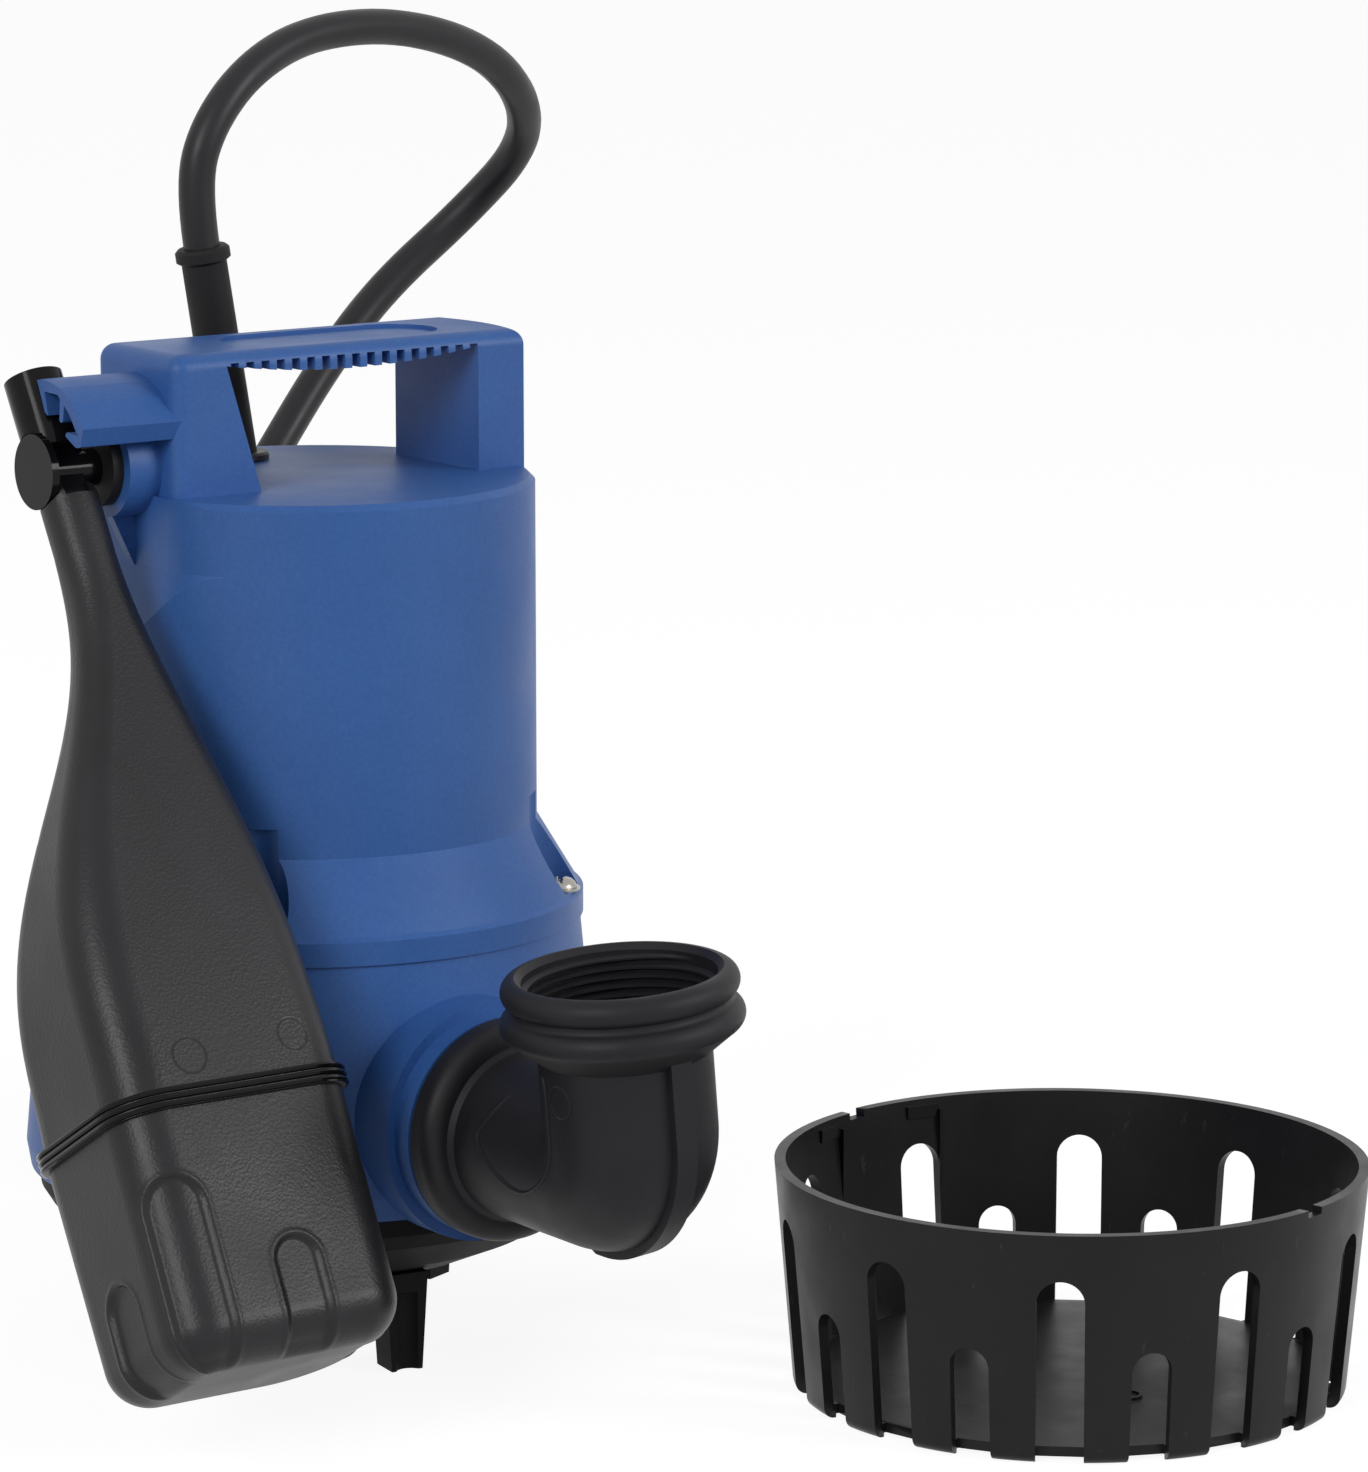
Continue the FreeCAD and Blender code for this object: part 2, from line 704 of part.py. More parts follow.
def elbow_tube(body, name, radius, start, top, cut=False):
    """Forward tube, a quarter turn tighter than the tube is wide, and the upright tube."""
    bend = s.elbow_bend
    corner = s.elbow_run - bend
    straight, turned_kind = (pocket, "Groove") if cut else (pad, "Revolution")
    half = root(radius * radius - bend * bend)
    profile = draw(sketch_on(body, "XZ_Plane", lift=corner, up=bend), [
        (half, 0), (-half, 0, radius), (-radius, -bend, radius), (0, -bend - radius, radius),
        (radius, -bend, radius)])
    feature(body, turned_kind, f"{name}_bend", Profile=profile, ReferenceAxis=(profile, ["H_Axis"]),
            Angle=90, Reversed=True)
    doc.recompute()
    ring = draw_circle(sketch_on(body, "XZ_Plane", lift=start), 0, 0, radius)
    straight(body, f"{name}_inlet", ring, corner - start, **({"back": True} if cut else {}))
    ring = draw_circle(sketch_on(body, "XY_Plane", lift=bend), 0, -s.elbow_run, radius)
    straight(body, f"{name}_riser", ring, top - bend, **({"back": True} if cut else {}))


def elbow_rib(body):
    """Rib down the outside of the bend, from the rings to the foot of the elbow."""
    corner = s.elbow_bend - s.elbow_run
    bend = s.elbow_bend
    outer = s.elbow_radius + s.elbow_rib_rise
    inner = s.elbow_radius - 1
    head = s.elbow_rise - 2 * s.mouth_pitch
    pad(body, "rib", draw(sketch_on(body, "YZ_Plane"), [
        (corner + 7, -inner), (corner + 7, -s.elbow_radius), (corner + 3, -outer),
        (corner, -outer, -outer - bend),
        (-s.elbow_run - outer, bend), (-s.elbow_run - outer, head), (-s.elbow_run - inner, head),
        (-s.elbow_run - inner, bend, inner + bend), (corner, -inner)]), s.elbow_rib_width, both=True)


def elbow_recess():
    """The room of the shallow D-shaped recess on the elbow's left side."""
    body = elbow_body("elbow_recess_room")
    front = s.elbow_recess_front
    back = s.elbow_recess_back
    head = s.elbow_recess_head
    foot = -s.elbow_recess_foot
    pad(body, "outline", draw(sketch_on(body, "YZ_Plane", lift=-s.elbow_radius - 2), [
        (-back, foot + 8.5), (-back - 13, foot + 1, 12), (-front + 11.4, foot), (-front, foot + 10.5, 11),
        (-front, head), (-back - s.elbow_recess_slant, head, s.elbow_recess_bow)]), s.elbow_recess_reach)
    elbow_tube(body, "tube", s.elbow_radius - s.elbow_recess_depth, 1, s.elbow_rise, cut=True)
    return body


def elbow_mouth(body):
    """Two fat rings round the mouth, with a groove between them and a taper down to the tube."""
    top = s.elbow_rise
    fat = s.mouth_round
    bead = top - fat
    band = bead - s.mouth_pitch
    x = fat * cosine(60)
    z = fat * sine(60)
    bead_x = s.mouth_bead_radius - fat
    band_x = s.mouth_band_radius - fat
    mouth = draw(sketch_on(body, "XZ_Plane", lift=s.elbow_run), [
        (0, band - s.mouth_taper), (s.elbow_radius, band - s.mouth_taper), (band_x + x, band - z, fat),
        (band_x + x, band + z, -1.6), (bead_x + x, bead - z, fat), (bead_x, top), (0, top)])
    feature(body, "Revolution", "mouth", Profile=mouth, ReferenceAxis=(mouth, ["V_Axis"]))
    doc.recompute()


def make_elbow_gasket():
    body = new_body("elbow_gasket", y=-s.outlet_reach, z=s.outlet_height)
    inner = s.outlet_bore + 1.2
    ring = draw(sketch_on(body, "YZ_Plane"), [
        (0, inner), (0, inner + s.gasket_width - 0.4),
        (-s.gasket_thickness, inner + s.gasket_width - 0.4), (-s.gasket_thickness, inner)])
    feature(body, "Revolution", "ring", Profile=ring, ReferenceAxis=(ring, ["H_Axis"]))
    doc.recompute()
    return body


# Motor cover

def make_motor_cover():
    """Blue moulding: drum with a flared lip, carrying handle, hood over the float arm, pivot boss."""
    body = new_body("motor_cover")
    flare_top = cover_foot + s.flare_height
    revolve(body, "drum", [
        (0, cover_foot), (lip_radius, cover_foot), (lip_radius, cover_foot + s.lip_height),
        (flare_radius, cover_foot + s.lip_height + 1), (cover_radius, flare_top),
        (cover_radius, plate_top - s.cover_bevel), (cover_radius - s.cover_bevel, plate_top),
        (0, plate_top)])
    flat_foot = plate_top - s.flat_drop
    pocket(body, "flat", flat_outline(body, flat_foot), s.flat_drop + 1, back=True)
    ramp = pocket(body, "flat_ramp", flat_outline(body, flat_foot), s.flat_slope)
    ramp.UseCustomVector = True
    ramp.Direction = V(-number(s.flat_inset), 0, -number(s.flat_slope))
    doc.recompute()
    half = s.handle_half_width
    right = root(handle_end_radius * handle_end_radius - half * half)
    block = pad(body, "handle", draw(sketch_on(body, "XY_Plane", lift=plate_under), [
        (-handle_left, -half), (right, -half, handle_end_radius), (right, half), (-handle_left, half)]),
        s.handle_height + s.plate_thickness)
    top = number(handle_top)
    sill = number(plate_top)
    round_edges(body, "handle_round", block, s.handle_round,
                lambda edge: edge.BoundBox.ZMax > top - 0.01 and edge.BoundBox.ZMin > sill - 0.01)
    make_hood(body)
    boss = draw_circle(sketch_on(body, "YZ_Plane", lift=-boss_reach), 0, pivot_height, s.boss_radius)
    pad(body, "pivot_boss", boss, boss_reach - handle_left + s.handle_round)
    rib = s.moulding_wall / 2
    pad(body, "boss_rib", draw(sketch_on(body, "XZ_Plane"), [
        (-boss_reach + 1, pivot_height - s.boss_radius + 1), (-flat_reach, flat_foot - 1),
        (-flat_reach + 1, flat_foot - 1), (-flat_reach + 1, pivot_height - s.boss_radius + 1)]),
        2 * rib, both=True)
    cut_cavity(body)
    cut_handle(body)
    return body


def flat_outline(body, height):
    """What is cut off the drum's left side: a flat that runs tangent into the round wall."""
    side = cover_radius + 1
    round_ = s.flat_round
    centre_x = flat_reach - round_
    centre_y = root((cover_radius - round_) * (cover_radius - round_) - centre_x * centre_x)
    grow = cover_radius / (cover_radius - round_)
    return draw(sketch_on(body, "XY_Plane", lift=height), [
        (-side, -centre_y * grow), (-centre_x * grow, -centre_y * grow, -round_), (-flat_reach, -centre_y),
        (-flat_reach, centre_y, -round_), (-centre_x * grow, centre_y * grow), (-side, centre_y * grow)])


def make_hood(body):
    """Channel over the float arm's stub: arched roof, front lip with a hook, back wall and stop rib."""
    base = pivot_height
    outline = [
        (-0.1, base + 15.6), (3.1, base + 22.5), (0.9, base + 23, 26), (-7.7, base + 21.6, 26),
        (-13.7, base + 18.3), (-17, base + 14.6), (-19.1, base + 12.4), (-17.6, base + 7.9, 4),
        (-14.6, base + 7.8), (-10.5, base + 9.8, 1), (-11.7, base + 10.9), (-16.6, base + 10.6),
        (-15.2, base + 12, -24), (-11, base + 16.7), (-9.9, base + 17.4), (-9.4, base + 13.8, 1),
        (-7.6, base + 13.5), (-8, base + 18.9), (-6.8, base + 19.8), (-0.4, base + 20),
        (-2.1, base + 14.2, 2)]
    pad(body, "hood", draw(sketch_on(body, "YZ_Plane", lift=-handle_left - s.hood_length), outline),
        s.hood_length + s.handle_round)


def cut_cavity(body):
    """Open the drum from below and cut the seats of the seal ring and the cover screws."""
    inner = cavity_radius
    chord = flat_reach - s.moulding_wall
    half = root(inner * inner - chord * chord)
    groove(body, "cavity", [(0, cover_foot), (inner, cover_foot), (inner, can_top), (0, can_top)])
    pocket(body, "upper_cavity", draw(sketch_on(body, "XY_Plane", lift=plate_under), [
        (-chord, -half, inner), (0, -inner, inner), (inner, 0, inner), (0, inner, inner), (-chord, half)]),
        plate_under - can_top + 1)
    ring = ring_radius
    wire = s.ring_wire + 0.2
    groove(body, "ring_groove",
           ring_corners(ring - wire, ring + wire, cover_foot, cover_foot + 2 * s.ring_wire + 0.2))
    x = screw_circle * cosine(s.screw_turn)
    y = screw_circle * sine(s.screw_turn)
    seat = cover_foot + s.screw_seat_height
    room = pocket(body, "screw_pocket",
                  draw_circle(sketch_on(body, "XY_Plane", lift=seat), x, y, s.screw_pocket_radius),
                  s.flare_height, back=True)
    hole = pocket(body, "screw_hole",
                  draw_circle(sketch_on(body, "XY_Plane", lift=seat), x, y, s.screw_shank + s.fit_gap),
                  s.screw_seat_height)
    spread(body, "screw_pockets", [room, hole], s.screw_count)


def cut_handle(body):
    """Cut the hand opening with its ribbed grip, the hollow left post, the top recess and the gland hole."""
    sill = plate_top
    bar = handle_top - s.bar_thickness
    edge = bar - s.grip_edge
    chord = window_left_head + window_right
    belly = chord * chord / (8 * s.grip_sag) + s.grip_sag / 2
    width = 2 * s.handle_half_width + 2
    pocket(body, "window", draw(sketch_on(body, "XZ_Plane"), [
        (-window_left_foot, sill), (window_right, sill), (window_right, edge, -belly),
        (-window_left_head, edge)]), width, both=True)
    start = -window_left_head + 2.5
    low = edge - s.grip_sag - 0.5
    gap = pocket(body, "grip_gap", draw(sketch_on(body, "XZ_Plane"), [
        (start - s.grip_gap / 2, low), (start + s.grip_gap / 2, low),
        (start + s.grip_gap / 2, bar), (start - s.grip_gap / 2, bar)]), width, both=True)
    ribs = feature(body, "LinearPattern", "grip", Originals=[gap],
                   Direction=(origin_feature(body, "X_Axis"), [""]), Occurrences=int(s.grip_gap_count.value))
    bind(ribs, "Length", s.grip_pitch * (s.grip_gap_count - 1))
    bind(ribs, "Occurrences", s.grip_gap_count)
    body.Tip = ribs
    doc.recompute()
    left = s.moulding_wall - handle_left
    slope = (window_left_head - window_left_foot) / (edge - sill)
    wall = s.moulding_wall + 0.5
    foot = plate_under - 1
    pocket(body, "post_hollow", draw(sketch_on(body, "XZ_Plane"), [
        (left, foot), (-window_left_foot - wall - slope * (foot - sill), foot),
        (-window_left_foot - wall - slope * (post_hollow_top - sill), post_hollow_top),
        (left, post_hollow_top)]), 2 * s.post_hollow_half_width, both=True)
    pocket(body, "pivot_bore",
           draw_circle(sketch_on(body, "YZ_Plane", lift=-boss_reach - 1), 0, pivot_height,
                       s.pivot_radius + s.fit_gap),
           boss_reach + 1 + left, back=True)
    r = s.recess_half_width
    pocket(body, "recess", draw(sketch_on(body, "XY_Plane", lift=handle_top), [
        (r - s.recess_left, -r), (s.recess_right - r, -r, r), (s.recess_right, 0, r),
        (s.recess_right - r, r), (r - s.recess_left, r, r), (-s.recess_left, 0, r)]), s.recess_depth)
    pocket(body, "gland_hole",
           draw_circle(sketch_on(body, "XY_Plane", lift=plate_top), s.gland_x, s.gland_y,
                       s.gland_radius + s.fit_gap / 2),
           s.plate_thickness + 1)


# Float and its switch

def float_body(name):
    """A body in the float's own frame: its Z axis runs up the arm, and -Y is the side that faces forward."""
    return new_body(name, x=-pivot_reach, z=pivot_height, axis=V(1, 0, 0), turn=-s.float_lean)


# Sections of the float, from the neck to the seam: drop below the pivot, left, right, back and front
# reach from the arm's axis, common corner radius, radius of the inner back corner.
FLOAT_SECTIONS = {
    "neck": (22, 7.5, 7.5, 7.4, 7.4, 7.2, 7.2),
    "throat": (48, 10.9, 9.3, 7.2, 8.3, 7, 7),
    "shoulder": (76, 22.3, 14.7, 11, 10.4, 8.5, 8.5),
    "chest": (105, 34.7, 20.3, 24, 13, 11, 21),
    "belly": (135, 40.7, 22.9, 34, 15.2, 12, 30),
    "seam": (167, 42.6, 22.9, 35.8, 16.4, 12, 28),
    "foot": (233, 44.5, 20.5, 33, 16.5, 12, 24),
}


def float_outline(section, inset=0):
    """Corners of one section, drawn in by a wall."""
    _, left, right, back, front, corner, deep = FLOAT_SECTIONS[section]
    return rounded_box(-left + inset, right - inset, -front + inset, back - inset,
                       corner - inset, corner - inset, deep - inset, corner - inset)


def float_loft(body, name, kind, sections, inset=0):
    """Loft the float's sections, upright sketches at their drops."""
    profiles = []
    for section, drop in sections:
        profiles.append(draw(sketch_on(body, "XY_Plane", lift=-drop), float_outline(section, inset)))
    feature(body, kind, name, Profile=profiles[0], Sections=profiles[1:])
    doc.recompute()


def make_float_shell():
    """Upper half of the float: a neck that swells into an offset, rounded box, hollow above the seam."""
    body = float_body("float_shell")
    seam = s.seam_drop
    drops = [(key, FLOAT_SECTIONS[key][0]) for key in ("neck", "throat", "shoulder", "chest", "belly")]
    float_loft(body, "outside", "AdditiveLoft", drops + [("seam", seam)])
    neck = FLOAT_SECTIONS["neck"]
    cap = pad(body, "neck_top", draw(sketch_on(body, "XY_Plane", lift=-neck[0]), float_outline("neck")),
              neck[0] - 4.5)
    round_edges(body, "neck_round", cap, 4,
                lambda edge: abs(edge.BoundBox.ZMin + 4.5) < 0.01 and abs(edge.BoundBox.ZMax + 4.5) < 0.01)
    float_loft(body, "inside", "SubtractiveLoft", drops[2:] + [("seam", seam)], s.float_wall)
    seam_rim(body, seam, s.float_wall / 2, back=False)
    pocket(body, "web_slot", draw(sketch_on(body, "YZ_Plane"), [
        (-s.pivot_radius - 5, -9), (s.stub_diameter, -9), (s.stub_diameter, 0), (-s.pivot_radius - 5, 0)]),
        s.web_width + s.fit_gap, both=True)
    disc_room(body)
    return body


def seam_rim(body, drop, inset, back):
    """One ridge of the seam band, standing proud of the float's side."""
    ring = draw(sketch_on(body, "XY_Plane", lift=-drop), float_outline("seam", -s.seam_proud))
    draw(ring, float_outline("seam", inset))
    pad(body, "rim", ring, s.seam_height / 3, back=back)


def make_float_seal():
    """Rubber ring between the two halves of the float."""
    body = float_body("float_seal")
    seam_rim(body, s.seam_drop, s.float_wall, back=True)
    return body


def make_float_cap():
    """Lower half of the float: a hollow tub with a rounded bottom edge."""
    body = float_body("float_cap")
    top = s.seam_drop + s.seam_height / 3
    float_loft(body, "outside", "AdditiveLoft", [("seam", top), ("foot", s.float_length)])
    floor = s.float_length - s.float_wall
    float_loft(body, "inside", "SubtractiveLoft", [("seam", top), ("foot", floor)], s.float_wall)
    inner_low = number(floor)
    round_edges(body, "inner_round", body.Tip, s.float_bottom_round - s.float_wall,
                lambda edge: abs(edge.BoundBox.ZMin + inner_low) + abs(edge.BoundBox.ZMax + inner_low) < 0.02)
    low = number(s.float_length)
    round_edges(body, "bottom_round", body.Tip, s.float_bottom_round,
                lambda edge: abs(edge.BoundBox.ZMin + low) + abs(edge.BoundBox.ZMax + low) < 0.02)
    seam_rim(body, top, s.float_wall / 2, back=True)
    _, left, right, _, front, corner, _ = FLOAT_SECTIONS["foot"]
    for index, (plane, reach, middle) in enumerate((
            ("XZ_Plane", front, -left + corner), ("XZ_Plane", front, -6.7),
            ("XZ_Plane", front, right - corner), ("YZ_Plane", left, 1.0))):
        inner = reach - s.float_recess_depth
        lift = inner if plane == "XZ_Plane" else -inner
        outline = recess_outline(sketch_on(body, plane, lift=lift), middle)
        pocket(body, f"recess_{index + 1}", outline, 3, back=plane == "XZ_Plane")
    return body


def recess_outline(sketch, middle):
    """A tall slot with a round head at the foot of the float's side."""
    r = s.float_recess_width / 2
    foot = -s.float_length - 1
    head = s.float_recess_length - s.float_length
    return draw(sketch, [(middle - r, foot), (middle + r, foot), (middle + r, head - r, r),
                         (middle, head, r), (middle - r, head - r)])


def make_float_arm():
    """Glossy arm: a stub above the pivot, a web behind it, and the hub that turns with the shaft."""
    body = float_body("float_arm")
    radius = s.stub_diameter / 2
    pad(body, "stub", draw_circle(sketch_on(body, "XY_Plane", lift=s.stub_foot), 0, 0, radius),
        s.stub_top - s.stub_foot)
    chord = s.pivot_radius + s.fit_gap
    half = root(radius * radius - chord * chord)
    pad(body, "back", draw(sketch_on(body, "XY_Plane", lift=-4.2), [
        (-half, chord), (half, chord, radius), (0, radius, radius)]), s.stub_foot + 5)
    pad(body, "web", draw(sketch_on(body, "YZ_Plane"), [
        (-s.pivot_radius - 0.5, -8.5), (radius - 0.5, -8.5), (radius - 0.5, 8), (-s.pivot_radius - 0.5, 8)]),
        s.web_width, both=True)
    hub = draw_circle(sketch_on(body, "YZ_Plane", lift=pivot_reach - disc_reach + s.disc_thickness),
                      0, 0, s.pivot_radius + 1.5)
    pad(body, "hub", hub, disc_reach - s.disc_thickness - boss_reach - s.bush_thickness - s.fit_gap)
    pocket(body, "shaft_hole", draw_circle(sketch_on(body, "YZ_Plane", lift=-disc_reach), 0, 0,
                                           s.pivot_radius + 0.05), 2 * disc_reach, back=True)
    disc_room(body)
    return body


def disc_room(body):
    """The flat in the arm's side that the end disc lies in."""
    pocket(body, "disc_room", draw_circle(sketch_on(body, "YZ_Plane", lift=-s.disc_overhang - 1), 0, 0,
                                          s.disc_radius + s.fit_gap),
           s.disc_thickness + s.fit_gap + 1, back=True)


def make_pivot_shaft():
    """Shaft through the boss, with the end disc on its outer end."""
    body = float_body("pivot_shaft")
    inner = pivot_reach - cam_reach + s.running_gap
    pad(body, "shaft", draw_circle(sketch_on(body, "YZ_Plane", lift=pivot_reach - disc_reach), 0, 0,
                                   s.pivot_radius), disc_reach - pivot_reach + inner)
    pad(body, "disc", draw_circle(sketch_on(body, "YZ_Plane", lift=pivot_reach - disc_reach), 0, 0,
                                  s.disc_radius), s.disc_thickness)
    return body


def make_switch_cam():
    """Cam on the inner end of the pivot shaft, under the switch."""
    body = float_body("switch_cam")
    lift = pivot_reach - cam_reach - s.cam_width
    r = s.cam_radius
    outline = draw(sketch_on(body, "YZ_Plane", lift=lift), [
        (0, -r, r), (r, 0, r), (0, r), (-r * 0.75, r * 0.2), (-r * 0.75, -r * 0.5)])
    pad(body, "lobe", outline, s.cam_width)
    pocket(body, "bore", draw_circle(sketch_on(body, "YZ_Plane", lift=lift - 1), 0, 0,
                                     s.pivot_radius + 0.05), s.cam_width + 2, back=True)
    return body


def make_pivot_bush():
    """Black ring on the face of the boss, with a sleeve in its bore's mouth."""
    body = new_body("pivot_bush", z=pivot_height)
    face = -boss_reach - s.bush_thickness
    pad(body, "ring", draw_circle(sketch_on(body, "YZ_Plane", lift=face), 0, 0, s.bush_radius),
        s.bush_thickness)
    pocket(body, "bore", draw_circle(sketch_on(body, "YZ_Plane", lift=face - 1), 0, 0,
                                     s.pivot_radius + s.fit_gap / 2), s.bush_thickness + 2, back=True)
    return body


def make_micro_switch():
    """Switch block in the hollow post, above the cam, with its push button."""
    body = new_body("micro_switch", z=pivot_height)
    left = -cam_reach - s.cam_width
    foot = post_hollow_top - pivot_height - s.fit_gap - s.switch_height
    pad(body, "block", draw(sketch_on(body, "YZ_Plane", lift=left), [
        (-s.switch_length / 2, foot), (s.switch_length / 2, foot),
        (s.switch_length / 2, foot + s.switch_height), (-s.switch_length / 2, foot + s.switch_height)]),
        s.cam_width - 1)
    button_foot = s.cam_radius + s.fit_gap
    pad(body, "button", draw(sketch_on(body, "YZ_Plane", lift=left + 1.5), [
        (-1.5, button_foot), (1.5, button_foot), (1.5, foot + 1), (-1.5, foot + 1)]), 2.5)
    return body


# Motor and impeller

def turned(name, corners):
    body = new_body(name)
    revolve(body, "turned", corners)
    return body


def make_motor():
    """Everything inside the two blue mouldings, all turned about the motor shaft."""
    can = can_radius
    bore = can - s.can_wall
    shaft = s.shaft_radius
    seat = s.lower_bearing_radius
    post_top = cover_foot + s.bearing_post
    bearing_foot = post_top - s.lower_bearing_width - 1
    plate = s.seat_radius - s.fit_gap
    seal_top = plate_bottom
    parts = [
        turned("motor_can", [(bore, cover_foot), (can, cover_foot), (can, can_top), (0, can_top),
                             (0, bracket_top), (bore, bracket_top)]),
        turned("stator_core", ring_corners(s.stator_bore, stator_radius, stator_foot, stator_top)),
        turned("lower_winding", ring_corners(winding_bore, winding_outer,
                                             stator_foot - s.fit_gap - s.winding_height,
                                             stator_foot - s.fit_gap)),
        turned("upper_winding", ring_corners(winding_bore, winding_outer, stator_top + s.fit_gap,
                                             stator_top + s.fit_gap + s.winding_height)),
        turned("rotor", ring_corners(shaft, s.stator_bore - s.running_gap, stator_foot, stator_top)),
        turned("motor_shaft", [(0, vane_foot - s.nut_height - 2), (shaft - 1, vane_foot - s.nut_height - 2),
                               (shaft, vane_foot - s.nut_height - 1), (shaft, shaft_top), (0, shaft_top)]),
        turned("lower_bearing", ring_corners(shaft + s.shaft_gap, seat, bearing_foot,
                                             bearing_foot + s.lower_bearing_width)),
        turned("upper_bearing", ring_corners(shaft + s.shaft_gap, s.upper_bearing_radius, upper_bearing_foot,
                                             upper_bearing_foot + s.upper_bearing_width)),
        turned("bearing_bracket", [
            (s.upper_bearing_radius, upper_bearing_foot),
            (s.upper_bearing_radius + s.bearing_seat_wall, upper_bearing_foot),
            (s.upper_bearing_radius + s.bearing_seat_wall, bracket_foot), (bore - s.fit_gap, bracket_foot),
            (bore - s.fit_gap, bracket_top), (s.upper_bearing_radius, bracket_top)]),
        turned("shaft_seal", ring_corners(shaft + s.shaft_gap, s.seal_radius,
                                          seal_top - s.seal_length, seal_top)),
    ]
    body = new_body("seal_plate")
    revolve(body, "disc", [
        (shaft + s.fit_gap, plate_bottom), (plate, plate_bottom), (plate, cover_foot),
        (seat + s.bearing_seat_wall, cover_foot), (seat + s.bearing_seat_wall, post_top), (seat, post_top),
        (seat, bearing_foot), (shaft + s.fit_gap, bearing_foot)])
    x = screw_circle * cosine(s.screw_turn)
    y = screw_circle * sine(s.screw_turn)
    notch = pocket(body, "screw_notch",
                   draw_circle(sketch_on(body, "XY_Plane", lift=cover_foot + 1), x, y,
                               s.base_post_radius - 1 + s.fit_gap), s.seal_plate_thickness + 2)
    spread(body, "screw_notches", [notch], s.screw_count)
    return parts + [body]


def make_impeller():
    """Open impeller: a disc and hub with curved vanes below it."""
    body = new_body("impeller")
    shaft = s.shaft_radius
    revolve(body, "hub", [
        (shaft, vane_foot), (s.impeller_hub, vane_foot), (s.impeller_hub, impeller_under),
        (s.impeller_radius, impeller_under), (s.impeller_radius, impeller_top),
        (s.impeller_hub, impeller_top), (s.impeller_hub, impeller_top + 5), (shaft, impeller_top + 5)])
    thick = s.vane_thickness
    start = s.impeller_hub - 1
    tip_x = s.impeller_radius * cosine(50)
    tip_y = s.impeller_radius * sine(50)
    vane = pad(body, "vane", draw(sketch_on(body, "XY_Plane", lift=vane_foot), [
        (start, 0, 30), (tip_x - 1, tip_y - 1),
        (tip_x - 1 - thick * 0.5, tip_y - 1 + thick * 0.5, -30 - thick),
        (start, thick)]), s.vane_height)
    spread(body, "vanes", [vane], s.vane_count)
    return body


def make_impeller_nut():
    """Hexagon nut that holds the impeller on the shaft."""
    body = new_body("impeller_nut")
    across = s.impeller_hub
    corners = [(across * cosine(60 * k), across * sine(60 * k)) for k in range(6)]
    pad(body, "hexagon", draw(sketch_on(body, "XY_Plane", lift=vane_foot), corners), s.nut_height, back=True)
    pocket(body, "bore", draw_circle(sketch_on(body, "XY_Plane", lift=vane_foot), 0, 0, s.shaft_radius),
           s.nut_height + 1)
    return body


def make_chamber_ring():
    """Rubber ring between the seal plate and the motor cover."""
    ring = doc.addObject("Part::Torus", "chamber_o_ring")
    ring.Label = "chamber_o_ring"
    bind(ring, "Radius1", ring_radius)
    bind(ring, "Radius2", s.ring_wire)
    bind(ring, "Placement.Base.z", cover_foot + s.ring_wire)
    return ring


def make_capacitor():
    """Round capacitor lying on top of the motor can."""
    body = new_body("capacitor", x=-s.capacitor_length / 2, z=can_top + s.fit_gap + s.capacitor_radius)
    base = pad(body, "can", draw_circle(sketch_on(body, "YZ_Plane"), 0, 0, s.capacitor_radius),
               s.capacitor_length)
    round_edges(body, "rounds", base, 1.5, lambda edge: len(edge.Vertexes) == 1)
    return body


# Power cable

def make_cable_gland():
    """Gland through the top plate, with a collar above, a nut below and a round socket for the boot."""
    body = new_body("cable_gland", x=s.gland_x, y=s.gland_y, z=plate_top)
    r = s.gland_radius
    collar = s.gland_collar
    nut = -s.plate_thickness - s.fit_gap
    ball = s.boot_radius + 0.15
    rise = 2.2
    revolve(body, "stem", [
        (0, nut - 5), (s.gland_nut, nut - 5), (s.gland_nut, nut), (r, nut), (r, s.fit_gap),
        (collar, s.fit_gap), (collar, rise - 0.6), (collar - 0.6, rise), (0, rise)])
    groove(body, "socket", [(0, rise - ball, ball), (ball, rise), (0, rise)])
    return body


def make_cable_boot():
    """Rubber sleeve that leans with the cable, with a ring at its end and a ball foot in the gland."""
    body = new_body("cable_boot", x=s.gland_x, y=s.gland_y, z=plate_top + 2.2,
                    axis=V(0, -1, 0), turn=s.boot_lean)
    r = s.boot_radius
    end = s.boot_length
    ring = s.boot_ring_radius
    revolve(body, "sleeve", [
        (0, -r, r), (r, 0), (r * 0.985, end - s.boot_ring_height), (ring, end - s.boot_ring_height + 0.8),
        (ring, end - 0.8), (ring - 0.8, end), (0, end)])
    return body


# Route of the cable from the boot's end, over in a loop and down behind the pump to the floor.
CABLE_ROUTE = [
    (-11.2, 35.9, 296.1), (-7.4, 34.6, 311.1), (6.4, 36.9, 325.1), (28.3, 42.1, 333.7), (59.9, 48.5, 334.5),
    (92.3, 55.9, 326.4), (114.4, 67.4, 311.9), (126.9, 85.9, 295.8), (117.7, 102.4, 276.8),
    (93.5, 107.6, 256.8), (72.4, 105.5, 236.2), (51.0, 101.0, 212.0), (27.0, 96.5, 184.0), (14.0, 93.5, 150.0),
    (8.0, 92.0, 113.0), (8.0, 93.0, 76.0), (10.5, 99.0, 41.0), (17.0, 117.0, 12.5), (23.0, 143.0, 4.8),
    (29.0, 168.0, 4.8)]


def boot_end():
    lean = math.radians(number(s.boot_lean))
    foot = V(number(s.gland_x), number(s.gland_y), number(plate_top) + 2.2)
    way = V(-math.sin(lean), 0, math.cos(lean))
    return foot + way * number(s.boot_length), way


